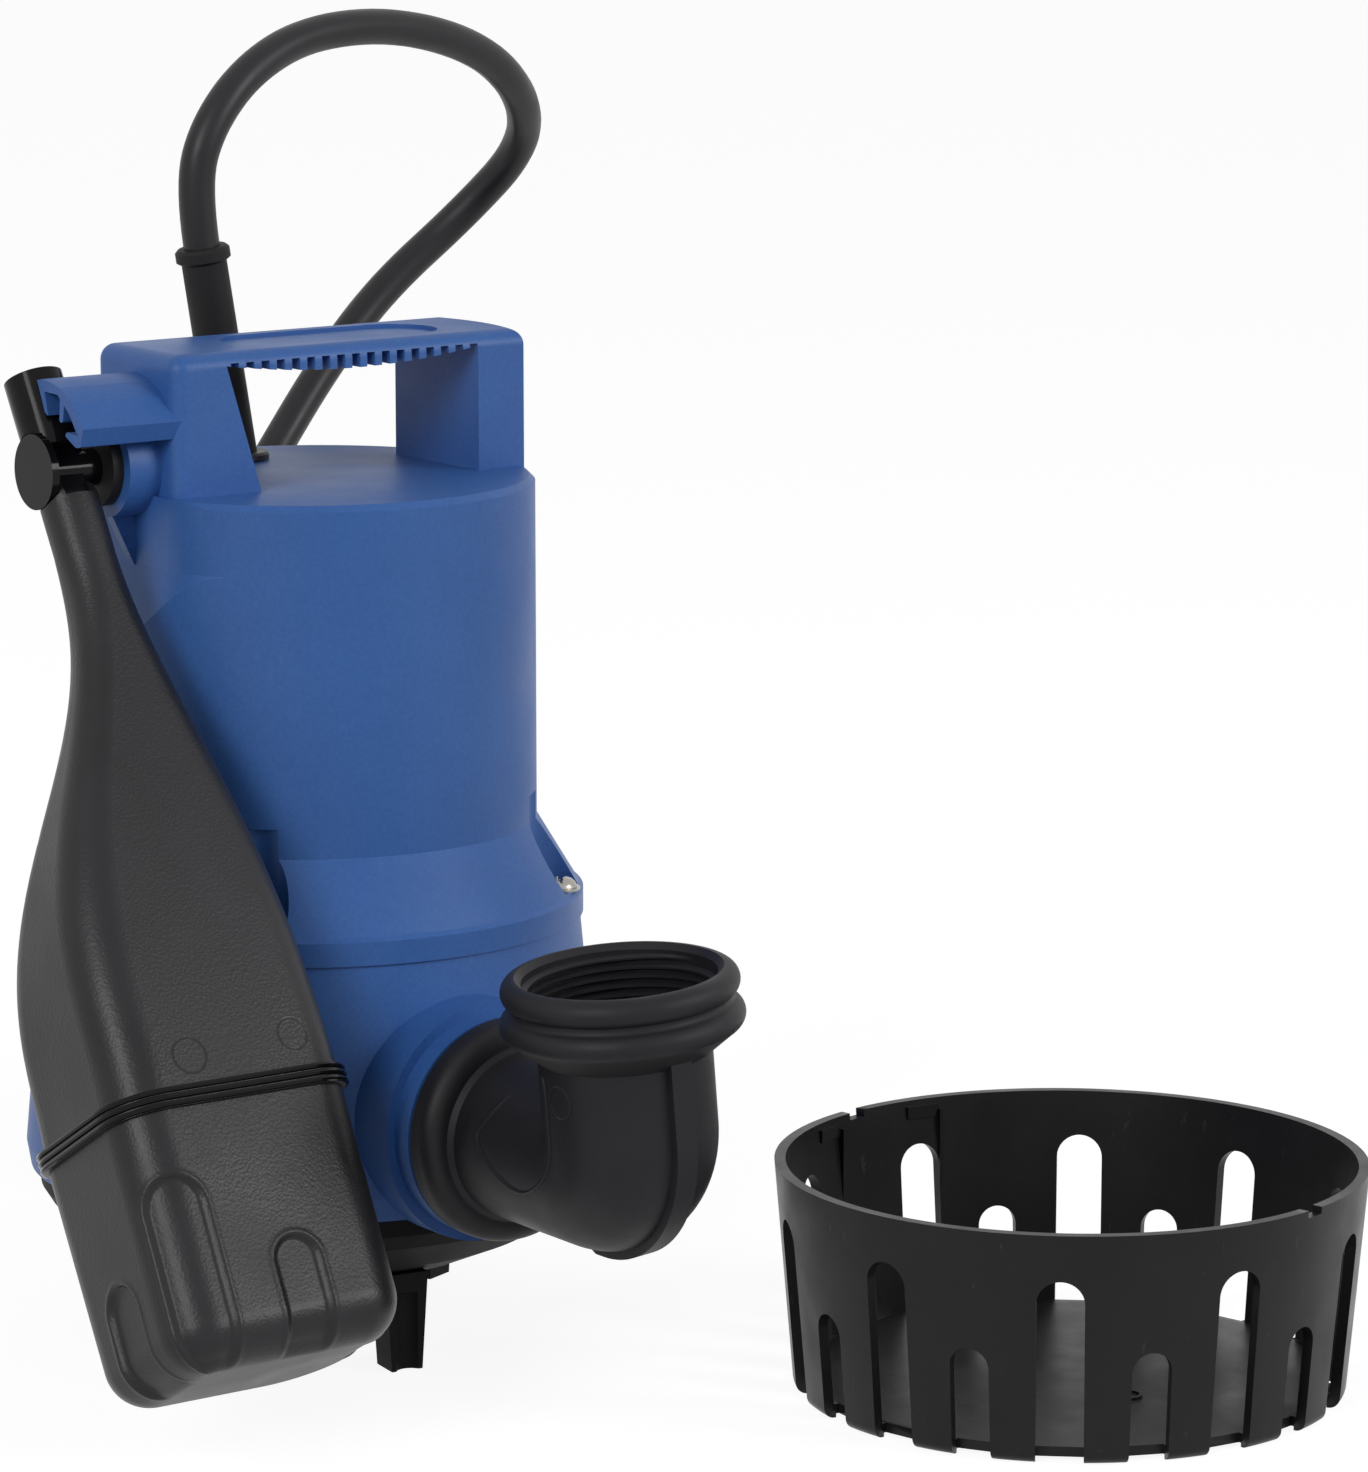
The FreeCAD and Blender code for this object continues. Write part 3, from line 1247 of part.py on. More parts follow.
def rounded_path(points):
    """Straight runs joined by tangent arcs, each as large as its two runs allow."""
    edges = []
    radii = []
    last = points[0]
    for before, corner, after in zip(points, points[1:], points[2:]):
        back = before - corner
        ahead = after - corner
        cut = 0.45 * min(back.Length, ahead.Length)
        half = (math.pi - back.getAngle(ahead)) / 2
        radius = cut / math.tan(half)
        radii.append(radius)
        back.normalize()
        ahead.normalize()
        start = corner + back * cut
        end = corner + ahead * cut
        middle = back + ahead
        middle.normalize()
        top = corner + middle * (radius / math.cos(half) - radius)
        edges.append(Part.LineSegment(last, start).toShape())
        edges.append(Part.Arc(start, top, end).toShape())
        last = end
    edges.append(Part.LineSegment(last, points[-1]).toShape())
    return Part.Wire(edges), radii


def swept_tube(wire, radius, frenet=False):
    start = wire.Edges[0].valueAt(wire.Edges[0].FirstParameter)
    way = wire.Edges[0].tangentAt(wire.Edges[0].FirstParameter)
    ring = Part.Wire(Part.makeCircle(radius, start, way))
    return wire.makePipeShell([ring], True, frenet)


def shape_feature(name, shape):
    item = doc.addObject("Part::Feature", name)
    item.Label = name
    item.Shape = shape
    return item


def make_power_cable():
    """The cable's free stretch, from the boot to the start of the coil."""
    start, way = boot_end()
    points = [start] + [V(*point) for point in CABLE_ROUTE]
    wire, radii = rounded_path(points)
    radius = number(s.cable_diameter) / 2
    tube = swept_tube(wire, radius)
    print("cable length", round(wire.Length, 1), "volume ratio",
          round(tube.Volume / (math.pi * radius ** 2 * wire.Length), 4))
    print("cable radii", [round(item) for item in radii])
    print("cable start turn", round(math.degrees(way.getAngle(points[1] - start)), 2))
    return shape_feature("power_cable", tube)


class Coil:
    """The line of the coil: clockwise seen from above, in points a half turn or less apart."""

    def __init__(self):
        start = V(*CABLE_ROUTE[-1])
        way = start - V(*CABLE_ROUTE[-2])
        way.z = 0
        way.normalize()
        self.radius = number(s.coil_outer)
        self.angle = math.degrees(math.atan2(way.x, -way.y))
        self.centre = start - V(-way.y, way.x, 0) * self.radius
        self.points = [(start, way)]

    def add(self, turn, grow=0.0, rise=0.0, slope=0.0):
        """Go on by an angle, growing and rising, and arrive with a slope."""
        self.angle -= turn
        self.radius += grow
        self.centre.z += rise
        at = math.radians(self.angle)
        out = V(math.cos(at), math.sin(at), 0)
        way = V(math.sin(at), -math.cos(at), slope)
        way.normalize()
        self.points.append((self.centre + out * self.radius, way))

    def wind(self):
        pitch = number(s.coil_pitch) / 2
        layer = number(s.coil_layer)
        bulge = number(s.coil_bulge)
        layers = int(number(s.coil_layers))
        for index in range(layers):
            step = pitch if index % 2 else -pitch
            for _ in range(2 * int(number(s.coil_turns))):
                self.add(180, step)
            if index < layers - 1:
                side = bulge if index % 2 else -bulge
                self.add(90, side, layer / 2, layer / (2 * self.radius))
                self.add(90, -side, layer / 2)

    def rise_to_plug(self):
        """Climb over the last layer to the axis of the plug that lies on it."""
        drop = self.plug_axis() - self.centre.z
        self.add(90, 1.0, drop * 0.33, drop / (2.3 * self.radius * math.pi / 2))
        self.add(90, -4.0, drop * 0.42, drop / (2.5 * self.radius * math.pi / 2))
        self.add(60, -9.0, drop * 0.25)
        end, way = self.points[-1]
        self.points.append((end + way * number(s.cable_diameter), way))

    def plug_axis(self):
        top = number(s.cable_diameter) + (number(s.coil_layers) - 1) * number(s.coil_layer)
        return top + number(s.plug_radius) + 0.3

    def wire(self):
        edges = []
        for (start, way), (end, end_way) in zip(self.points[:-1], self.points[1:-1]):
            edges += biarc(start, way, end, end_way)
        edges.append(Part.LineSegment(self.points[-2][0], self.points[-1][0]).toShape())
        return Part.Wire(edges)


def biarc(start, start_way, end, end_way):
    """Two tangent arcs between two points with given directions."""
    gap = end - start
    both = start_way + end_way
    k = 2 * (1 - start_way.dot(end_way))
    b = gap.dot(both)
    reach = (-b + math.sqrt(b * b + k * gap.dot(gap))) / k if k > 1e-9 else gap.dot(gap) / (2 * b)
    joint = ((start + start_way * reach) + (end - end_way * reach)) / 2
    return [Part.Arc(start, arc_middle(start, start_way, joint), joint).toShape(),
            Part.Arc(joint, arc_middle(end, -end_way, joint), end).toShape()]


def arc_middle(start, way, end):
    """The middle point of the arc that leaves start along way and reaches end."""
    chord = end - start
    across = way.cross(chord).cross(way)
    across.normalize()
    radius = chord.dot(chord) / (2 * chord.dot(across))
    centre = start + across * radius
    middle = (start + end) / 2 - centre
    middle.normalize()
    return centre + middle * radius


def make_cable_coil(coil):
    """The unseen length, wound in a neat coil behind the pump, with its last turn rising to the plug."""
    wire = coil.wire()
    radius = number(s.cable_diameter) / 2
    tube = swept_tube(wire, radius)
    print("coil length", round(wire.Length, 1), "volume ratio",
          round(tube.Volume / (math.pi * radius ** 2 * wire.Length), 4))
    print("coil gap", round(least_gap(wire, 2 * radius), 3))
    return shape_feature("cable_coil", tube)


def least_gap(wire, diameter):
    """Least gap of a wound tube to itself, measured on points along its line."""
    points = wire.discretize(Distance=3.0)
    skip = 16
    return min((a - b).Length for i, a in enumerate(points) for b in points[i + skip:]) - diameter


def make_power_plug(coil):
    """Generic round plug with two pins, lying on the coil."""
    end, way = coil.points[-1]
    body = new_body("power_plug", axis=V(-1, 0, 0), turn=90)
    spin = math.degrees(math.atan2(way.y, way.x)) - 90
    turn = FreeCAD.Rotation(V(0, 0, 1), spin) * FreeCAD.Rotation(V(-1, 0, 0), 90)
    body.Placement = FreeCAD.Placement(end, turn)
    r = s.plug_radius
    neck = s.plug_neck
    revolve(body, "grip", [
        (0, 0), (s.cable_diameter / 2 + 1.5, 0), (s.cable_diameter / 2 + 3, neck), (r * 0.8, neck + 12),
        (r, neck + 20), (r, neck + s.plug_length - 1), (r - 1, neck + s.plug_length),
        (0, neck + s.plug_length)])
    face = neck + s.plug_length
    for side in (-1, 1):
        pad(body, "pin", draw_circle(sketch_on(body, "XY_Plane", lift=face - 1), side * s.pin_spacing / 2, 0,
                                     s.pin_radius), s.pin_length + 1)
    return body


# Strainer basket

def make_strainer_basket():
    """Round basket with ten long and ten short slots, open at the bottom edge, and a raised floor."""
    body = new_body("strainer_basket", x=s.basket_x, y=s.basket_y, turn=s.basket_turn)
    rim = s.basket_rim_radius
    foot = s.basket_foot_radius
    wall = s.basket_wall
    rise = s.basket_floor_rise
    r = s.basket_round
    ring = foot - s.basket_foot_width
    revolve(body, "shell", [
        (0, rise), (ring, rise), (ring, 0), (foot - r, 0, r), (foot, r),
        (rim, s.basket_height), (rim - wall, s.basket_height), (foot - wall, rise + s.basket_floor),
        (0, rise + s.basket_floor)])
    start = ring - 1
    long_slot = pocket(body, "long_slot", slot(sketch_on(body, "YZ_Plane", lift=start),
                                               s.long_slot_width, s.long_slot_top), rim - start + 1, back=True)
    spread(body, "long_slots", [long_slot], s.slot_count)
    half = 180 / s.slot_count
    short = slot(sketch_on(body, "YZ_Plane", lift=start * cosine(half), across=start * sine(half), turn=half),
                 s.short_slot_width, s.short_slot_top)
    short_slot = pocket(body, "short_slot", short, rim - start + 1, back=True)
    spread(body, "short_slots", [short_slot], s.slot_count)
    return body


def slot(sketch, width, top):
    """A slot open at its foot, with a round head."""
    r = width / 2
    return draw(sketch, [(-r, -1), (r, -1), (r, top - r, r), (0, top, r), (-r, top - r)])


coil = Coil()
coil.wind()
coil.rise_to_plug()

nodes = [
    make_suction_cover(),
    make_pump_chamber(),
    make_screws("base_screws", base_screw_circle, s.leg_turn + 180 / s.leg_count, s.leg_count,
                s.bowl_edge_height + 1.5, True),
    make_discharge_elbow(),
    make_elbow_gasket(),
    make_motor_cover(),
    make_screws("cover_screws", screw_circle, s.screw_turn, s.screw_count,
                cover_foot + s.screw_seat_height, False),
    make_float_shell(),
    make_float_seal(),
    make_float_cap(),
    make_float_arm(),
    make_pivot_shaft(),
    make_switch_cam(),
    make_pivot_bush(),
    make_micro_switch(),
    *make_motor(),
    make_impeller(),
    make_impeller_nut(),
    make_chamber_ring(),
    make_capacitor(),
    make_cable_gland(),
    make_cable_boot(),
    make_power_cable(),
    make_cable_coil(coil),
    make_power_plug(coil),
    make_strainer_basket(),
]

doc.recompute()
for item in doc.Objects:
    if "Invalid" in item.State or "Error" in item.State:
        raise RuntimeError(f"{item.Name} failed: {item.State}")
for item in nodes:
    if item.Shape.isNull() or not item.Shape.isValid():
        raise RuntimeError(f"{item.Label} has no valid shape")
for item in nodes:
    item.Shape.exportStep(f"parts/{item.Label}.step")
    print(item.Label, len(item.Shape.Solids), round(item.Shape.Volume, 1))
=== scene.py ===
import json
import math

import bmesh
import bpy
from mathutils import Matrix, Vector
from mathutils.bvhtree import BVHTree


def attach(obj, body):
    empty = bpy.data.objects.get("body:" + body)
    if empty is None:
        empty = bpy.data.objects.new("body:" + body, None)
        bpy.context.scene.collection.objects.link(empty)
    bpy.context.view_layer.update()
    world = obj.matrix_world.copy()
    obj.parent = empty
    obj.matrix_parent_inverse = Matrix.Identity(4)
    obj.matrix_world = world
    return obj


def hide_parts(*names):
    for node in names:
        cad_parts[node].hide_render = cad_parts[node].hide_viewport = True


# Submersible sump pump: surfaces, cable, small forms, light and camera.
# Metres, +Z up, origin on the floor under the motor shaft. The places and sizes of pieces are
# written in millimetres and brought to metres by MM, and sizes in the materials are in metres.

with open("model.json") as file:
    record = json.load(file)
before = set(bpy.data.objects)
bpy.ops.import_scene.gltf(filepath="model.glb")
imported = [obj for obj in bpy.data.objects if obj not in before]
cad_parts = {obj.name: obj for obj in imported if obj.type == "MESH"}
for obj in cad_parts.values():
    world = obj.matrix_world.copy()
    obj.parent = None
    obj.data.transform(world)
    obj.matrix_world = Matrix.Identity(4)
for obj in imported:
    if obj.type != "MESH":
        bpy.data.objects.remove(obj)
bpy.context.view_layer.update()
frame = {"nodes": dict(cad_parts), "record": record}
nodes = frame["nodes"]

MM = 0.001
UP = Vector((0, 0, 1))

# The float hangs askew from its pivot, and the elbow is turned a little on the outlet.
PIVOT = (-73.0, 0, 231.1)
FLOAT_LEAN = math.radians(-30)
FLOAT_FRAME = Matrix.Translation(PIVOT) @ Matrix.Rotation(FLOAT_LEAN, 4, "X")
OUTLET_END = (0, -87.0, 69.5)
ELBOW_LEAN = math.radians(-5)
ELBOW_FRAME = Matrix.Translation(OUTLET_END) @ Matrix.Rotation(ELBOW_LEAN, 4, "Y")


def eased(value):
    """Smooth step from 0 to 1."""
    value = min(1.0, max(0.0, value))
    return value * value * (3 - 2 * value)


# Materials

# Round marks of ejector pins: centre in the piece's frame, radius and strength.
FLOAT_MARKS = [((-21.3, -16.3, -158.2), 4.5, 0.7), ((8.2, -16.3, -156.8), 4.0, 0.5)]
ELBOW_MARK = ((-21.3, -58.5, 22.8), 4.0, 0.6)
MARK_WIDTH = 0.0004
MARK_DEPTH = 0.0002


class Shader:
    """A material's node tree, with short calls for the nodes that the finishes use."""

    def __init__(self, name):
        self.material = bpy.data.materials.new(name)
        self.material.use_nodes = True
        self.tree = self.material.node_tree
        self.surface = self.tree.nodes["Principled BSDF"]
        self.place = self.node("ShaderNodeTexCoord").outputs["Object"]

    def node(self, kind, **settings):
        item = self.tree.nodes.new(kind)
        for key, value in settings.items():
            setattr(item, key, value)
        return item

    def link(self, source, target):
        self.tree.links.new(source, target)

    def set(self, **values):
        """Set sockets of the surface, with _ for a space in their names."""
        for key, value in values.items():
            self.surface.inputs[key.replace("_", " ")].default_value = value

    def noise(self, size, detail=3.0, roughness=0.55, stretch=(1, 1, 1)):
        """Noise whose lumps are about size metres across."""
        mapping = self.node("ShaderNodeMapping")
        mapping.inputs["Scale"].default_value = stretch
        self.link(self.place, mapping.inputs["Vector"])
        item = self.node("ShaderNodeTexNoise")
        self.link(mapping.outputs["Vector"], item.inputs["Vector"])
        item.inputs["Scale"].default_value = 1 / size
        item.inputs["Detail"].default_value = detail
        item.inputs["Roughness"].default_value = roughness
        return item.outputs["Fac"]

    def pebbles(self, size):
        """Rounded grains about size metres across."""
        item = self.node("ShaderNodeTexVoronoi", feature="SMOOTH_F1")
        self.link(self.place, item.inputs["Vector"])
        item.inputs["Scale"].default_value = 1 / size
        item.inputs["Smoothness"].default_value = 1.0
        return item.outputs["Distance"]

    def spread(self, source, low, high, to_low=0.0, to_high=1.0):
        """Map source from low..high to to_low..to_high, clamped."""
        item = self.node("ShaderNodeMapRange")
        self.link(source, item.inputs["Value"])
        for key, value in (("From Min", low), ("From Max", high), ("To Min", to_low), ("To Max", to_high)):
            item.inputs[key].default_value = value
        return item.outputs["Result"]

    def clouds(self, size):
        """Soft patches about size metres across, from 0 to 1."""
        return self.spread(self.noise(size, 4), 0.35, 0.7)

    def mix(self, factor, first, second):
        """Blend two colours, or sources of colour, by factor."""
        item = self.node("ShaderNodeMix", data_type="RGBA")
        self.link(factor, item.inputs["Factor"])
        for value, socket in ((first, item.inputs["A"]), (second, item.inputs["B"])):
            if isinstance(value, tuple):
                socket.default_value = (*value, 1.0)
            else:
                self.link(value, socket)
        return item.outputs["Result"]

    def colour(self, source):
        self.link(source, self.surface.inputs["Base Color"])

    def roughness(self, low, high, size, detail, lumps=0.55, stretch=(1, 1, 1)):
        """Roughness that wanders from low to high in patches about size metres across."""
        patches = self.noise(size, detail, lumps, stretch)
        self.link(self.spread(patches, 0.3, 0.7, low, high), self.surface.inputs["Roughness"])

    def bump(self, height, depth, strength=1.0, below=None):
        """Raise the surface by height times depth metres, on top of another bump."""
        item = self.node("ShaderNodeBump")
        item.inputs["Strength"].default_value = strength
        item.inputs["Distance"].default_value = depth
        self.link(height, item.inputs["Height"])
        if below:
            self.link(below, item.inputs["Normal"])
        self.link(item.outputs["Normal"], self.surface.inputs["Normal"])
        return item.outputs["Normal"]

    def ring_mark(self, piece_frame, centre, radius, strength, below):
        """Press a thin circle into the surface round a point of the piece."""
        apart = self.node("ShaderNodeVectorMath", operation="DISTANCE")
        self.link(self.place, apart.inputs[0])
        apart.inputs[1].default_value = piece_frame @ Vector(centre) * MM
        off = self.node("ShaderNodeMath", operation="SUBTRACT")
        self.link(apart.outputs["Value"], off.inputs[0])
        off.inputs[1].default_value = radius * MM
        size = self.node("ShaderNodeMath", operation="ABSOLUTE")
        self.link(off.outputs[0], size.inputs[0])
        return self.bump(self.spread(size.outputs[0], 0.0, MARK_WIDTH), MARK_DEPTH, strength, below)


def tint(colour, factor):
    return tuple(channel * factor for channel in colour)


def blue_moulding():
    """Blue moulding, clouded and finely speckled, and rubbed paler in places."""
    m = Shader("blue_moulding")
    cloud = m.clouds(0.05)
    base = m.mix(cloud, (0.028, 0.100, 0.325), (0.036, 0.120, 0.375))
    speckle = m.spread(m.noise(0.0011, 2, 0.7), 0.3, 0.7)
    base = m.mix(speckle, base, m.mix(cloud, (0.037, 0.116, 0.355), (0.046, 0.138, 0.405)))
    rubbed = m.spread(m.noise(0.006, 6, 0.72, (1, 1, 0.4)), 0.62, 0.80, 0, 0.30)
    m.colour(m.mix(rubbed, base, (0.10, 0.19, 0.42)))
    m.roughness(0.40, 0.52, 0.03, 5)
    m.set(Specular_IOR_Level=0.32)
    grain = m.bump(m.noise(0.0008, 3, 0.6), 0.00006, 0.7)
    m.bump(m.noise(0.018, 2), 0.0004, 0.12, grain)
    return m.material


def pebbled_black():
    """The float's black moulding, with a pebbled grain and its ejector marks."""
    m = Shader("pebbled_black")
    m.colour(m.mix(m.clouds(0.04), (0.0100, 0.0098, 0.0115), (0.0155, 0.0150, 0.0175)))
    m.roughness(0.34, 0.44, 0.02, 4)
    m.set(Specular_IOR_Level=0.30)
    relief = m.bump(m.pebbles(0.0007), 0.00010, 0.6)
    for mark in FLOAT_MARKS:
        relief = m.ring_mark(FLOAT_FRAME, *mark, relief)
    return m.material


def plain_moulding(name, colour, rough, gloss=0.3, grain_depth=0.00004, scuff=0.0, mark=None):
    """Plastic or rubber of one colour, with pale rub marks of strength scuff and one ejector mark."""
    m = Shader(name)
    base = m.mix(m.clouds(0.035), colour, tint(colour, 1.5))
    if scuff:
        rubbed = m.spread(m.noise(0.004, 6, 0.7, (1, 1, 0.35)), 0.64, 0.76, 0, scuff)
        base = m.mix(rubbed, base, (0.16, 0.16, 0.165))
    m.colour(base)
    m.roughness(rough - 0.05, rough + 0.07, 0.015, 5)
    m.set(Specular_IOR_Level=gloss)
    grain = m.bump(m.noise(0.0012, 3, 0.6), grain_depth, 0.6)
    if mark:
        m.ring_mark(ELBOW_FRAME, *mark, grain)
    return m.material


def metal(name, colour, rough, brush=(1, 1, 12)):
    """Bare metal with fine lines round its height, or an even grain where brush is (1, 1, 1)."""
    m = Shader(name)
    m.colour(m.mix(m.noise(0.004, 3), colour, tint(colour, 0.8)))
    m.set(Metallic=1.0)
    m.roughness(rough - 0.08, rough + 0.1, 0.0015, 4, 0.6, brush)
    m.bump(m.noise(0.0008, 2, 0.5, brush), 0.00002, 0.4)
    return m.material


def wound_copper():
    """Copper wire laid in turns, with painted shade in the grooves between the turns."""
    m = Shader("wound_copper")
    m.set(Metallic=1.0)
    wave = m.node("ShaderNodeTexWave", wave_type="RINGS", rings_direction="Z", wave_profile="SIN")
    m.link(m.place, wave.inputs["Vector"])
    wave.inputs["Scale"].default_value = 300
    wave.inputs["Distortion"].default_value = 1.5
    # The wave that raises the turns also darkens the copper in the grooves between them: painted shade.
    m.colour(m.mix(wave.outputs["Fac"], (0.30, 0.12, 0.05), (0.62, 0.30, 0.13)))
    m.roughness(0.25, 0.42, 0.004, 3)
    m.bump(wave.outputs["Fac"], 0.0004, 0.8)
    return m.material


finishes = {
    "blue_plastic": blue_moulding(),
    "black_plastic": plain_moulding("satin_black", (0.0088, 0.0082, 0.0092), 0.36, 0.20, scuff=0.22),
    "float_plastic": pebbled_black(),
    "gloss_black": plain_moulding("gloss_black", (0.0050, 0.0045, 0.0052), 0.11, 0.14, 0.000004),
    "elbow_plastic": plain_moulding("matt_black", (0.0105, 0.0098, 0.0118), 0.50, 0.22, 0.00008,
                                    mark=ELBOW_MARK),
    "black_rubber": plain_moulding("black_rubber", (0.0090, 0.0085, 0.0092), 0.60, 0.22),
    "cable_rubber": plain_moulding("cable_rubber", (0.0105, 0.0098, 0.0118), 0.40, 0.28),
    "screw_steel": metal("stainless_steel", (0.40, 0.385, 0.35), 0.24),
    "motor_steel": metal("machined_steel", (0.50, 0.50, 0.51), 0.32),
    "cast_aluminium": metal("cast_aluminium", (0.62, 0.63, 0.64), 0.50, (1, 1, 1)),
    "copper_wire": wound_copper(),
    "capacitor_case": plain_moulding("pale_case", (0.48, 0.48, 0.46), 0.40),
}

slots = {row["node"]: row["material_slot"] for row in frame["record"]["subparts"]}
for name, piece in nodes.items():
    piece.data.materials.clear()
    piece.data.materials.append(finishes[slots[name]])

# The suction cover is duller than the other pieces of its slot.
base_black = plain_moulding("base_black", (0.0085, 0.0080, 0.0088), 0.62, 0.10, scuff=0.1)
nodes["suction_cover"].data.materials[0] = base_black


# Power cable

BOOT_FOOT = Vector((0.2, 36.0, 226.2))
BOOT_LENGTH = 54.6
BOOT_LEAN = math.radians(9.4)
BOOT_END = BOOT_FOOT + Vector((-math.sin(BOOT_LEAN), 0, math.cos(BOOT_LEAN))) * BOOT_LENGTH
CABLE_DIAMETER = 9.5
# Over in a loop and down behind the pump to the floor
CABLE_ROUTE = [
    (-11.2, 35.9, 296.1), (-7.4, 34.6, 311.1), (6.4, 36.9, 325.1), (28.3, 42.1, 333.7),
    (59.9, 48.5, 334.5), (92.3, 55.9, 326.4), (114.4, 67.4, 311.9), (126.9, 85.9, 295.8),
    (117.7, 102.4, 276.8), (93.5, 107.6, 256.8), (72.4, 105.5, 236.2), (51.0, 101.0, 212.0),
    (27.0, 96.5, 184.0), (14.0, 93.5, 150.0), (8.0, 92.0, 113.0), (8.0, 93.0, 76.0),
    (10.5, 99.0, 41.0), (17.0, 117.0, 12.5), (23.0, 143.0, 4.8), (29.0, 168.0, 4.8)]
COIL_RADIUS = 62.0
COIL_TURNS = 2
COIL_PITCH = 10.4
COIL_LAYER = 10.0
COIL_LAYERS = 4
COIL_BULGE = 3.5
COIL_STEP = 18
# Where the cable enters the plug, which way the plug looks, and how far the cable runs into it
PLUG_FOOT = (84.2, 204.2, 58.8)
PLUG_WAY = (0.959, 0.284, 0)
PLUG_LEAD = 3


def coil_points():
    """Control points of the coil, clockwise from above, from the end of the route into the plug."""
    start = Vector(CABLE_ROUTE[-1])
    way = start - Vector(CABLE_ROUTE[-2])
    way.z = 0
    way.normalize()
    out = Vector((-way.y, way.x, 0))
    centre = start - out * COIL_RADIUS
    # The curve runs inside its control points, so they stand out by this factor.
    swell = 1 / (0.75 + 0.25 * math.cos(math.radians(COIL_STEP)))

    # Stretches: degrees turned, growth of the radius, rise, and bulge halfway
    stretches = []
    for layer in range(COIL_LAYERS):
        side = 1 if layer % 2 else -1
        stretches.append((360 * COIL_TURNS, side * COIL_TURNS * COIL_PITCH, 0, 0))
        if layer < COIL_LAYERS - 1:
            stretches.append((180, 0, COIL_LAYER, side * COIL_BULGE))
    climb = PLUG_FOOT[2] - start.z - (COIL_LAYERS - 1) * COIL_LAYER
    stretches += [(90, 1.0, climb * 0.4, 0), (90, -4.0, climb * 0.4, 0), (54, -9.0, climb * 0.2, 0)]

    angle, radius, height = math.degrees(math.atan2(out.y, out.x)), COIL_RADIUS, start.z
    points = []
    for turn, growth, rise, bulge in stretches:
        steps = round(turn / COIL_STEP)
        for k in range(1, steps + 1):
            share = k / steps
            spot = math.radians(angle - turn * share)
            reach = (radius + growth * share + bulge * math.sin(math.pi * share)) * swell
            points.append((centre.x + math.cos(spot) * reach, centre.y + math.sin(spot) * reach,
                           height + rise * eased(share)))
        angle -= turn
        radius += growth
        height += rise
    return points + [PLUG_FOOT, tuple(Vector(PLUG_FOOT) + Vector(PLUG_WAY) * PLUG_LEAD)]


def cord_curve(name, points, radius):
    """A round cord on one open curve through points in millimetres."""
    curve = bpy.data.curves.new(name, "CURVE")
    curve.dimensions = "3D"
    curve.bevel_depth = radius * MM
    curve.bevel_resolution = 8
    curve.resolution_u = 8
    curve.use_fill_caps = True
    spline = curve.splines.new("NURBS")
    spline.points.add(len(points) - 1)
    for target, point in zip(spline.points, points):
        target.co = (point[0] * MM, point[1] * MM, point[2] * MM, 1)
    spline.order_u = 3
    spline.use_endpoint_u = True
    piece = bpy.data.objects.new(name, curve)
    bpy.context.scene.collection.objects.link(piece)
    return piece


cable = cord_curve("mains_cable", [tuple(BOOT_END), *CABLE_ROUTE, *coil_points()], CABLE_DIAMETER / 2)
cable.data.materials.append(finishes["cable_rubber"])
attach(cable, "pump")
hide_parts("power_cable", "cable_coil")


# Meshes of the small forms

def smooth_mesh(name, points, faces, place=Matrix(), crisp=40):
    """A mesh from points in millimetres, with rounded shading and crisp edges above crisp degrees."""
    mesh = bpy.data.meshes.new(name)
    mesh.from_pydata([tuple(place @ Vector(point) * MM) for point in points], [], faces)
    form = bmesh.new()
    form.from_mesh(mesh)
    bmesh.ops.recalc_face_normals(form, faces=form.faces)
    form.to_mesh(mesh)
    form.free()
    mesh.shade_smooth()
    mesh.set_sharp_from_angle(angle=math.radians(crisp))
    return mesh


def swept_rings(rings, closed=False):
    """Points and faces of a tube through rings of equal size, with flat ends unless it is closed."""
    size = len(rings[0])
    points = [point for ring in rings for point in ring]
    faces = []
    for k in range(len(rings) if closed else len(rings) - 1):
        here = k * size
        there = (k + 1) % len(rings) * size
        for j in range(size):
            faces.append((here + j, here + (j + 1) % size, there + (j + 1) % size, there + j))
    if not closed:
        faces += [tuple(range(size)), tuple(range(len(points) - size, len(points)))]
    return points, faces


def round_ring(spot, side, out, radius):
    """Eight points of a round section about spot, in the plane of side and out."""
    turns = [math.radians(45 * j) for j in range(8)]
    return [tuple(spot + (side * math.cos(turn) + out * math.sin(turn)) * radius) for turn in turns]


def turned_profile(profile, steps=48):
    """Points and faces of a closed profile of radius and height pairs, turned about Z."""
    return swept_rings([[(radius * math.cos(angle), radius * math.sin(angle), height)
                         for radius, height in profile]
                        for angle in (2 * math.pi * k / steps for k in range(steps))], closed=True)


def block(name, size, place):
    """A loose box, its size in millimetres, centred in the frame place."""
    x, y, z = (side / 2 for side in size)
    points = [(a * x, b * y, c * z) for a in (-1, 1) for b in (-1, 1) for c in (-1, 1)]
    faces = [(0, 1, 3, 2), (4, 6, 7, 5), (0, 4, 5, 1), (2, 3, 7, 6), (0, 2, 6, 4), (1, 5, 7, 3)]
    piece = bpy.data.objects.new(name, smooth_mesh(name, points, faces, place))
    bpy.context.scene.collection.objects.link(piece)
    return piece


def keep_result(piece, step):
    """Make the modifier's result the piece's own mesh."""
    bpy.context.view_layer.update()
    graph = bpy.context.evaluated_depsgraph_get()
    result = bpy.data.meshes.new_from_object(piece.evaluated_get(graph))
    piece.modifiers.remove(step)
    piece.data = result


def cut_away(piece, cutter):
    """Take the cutter's solid out of the piece and drop the cutter."""
    step = piece.modifiers.new("cut", "BOOLEAN")
    step.operation = "DIFFERENCE"
    step.solver = "EXACT"
    step.object = cutter
    keep_result(piece, step)
    bpy.data.objects.remove(cutter)


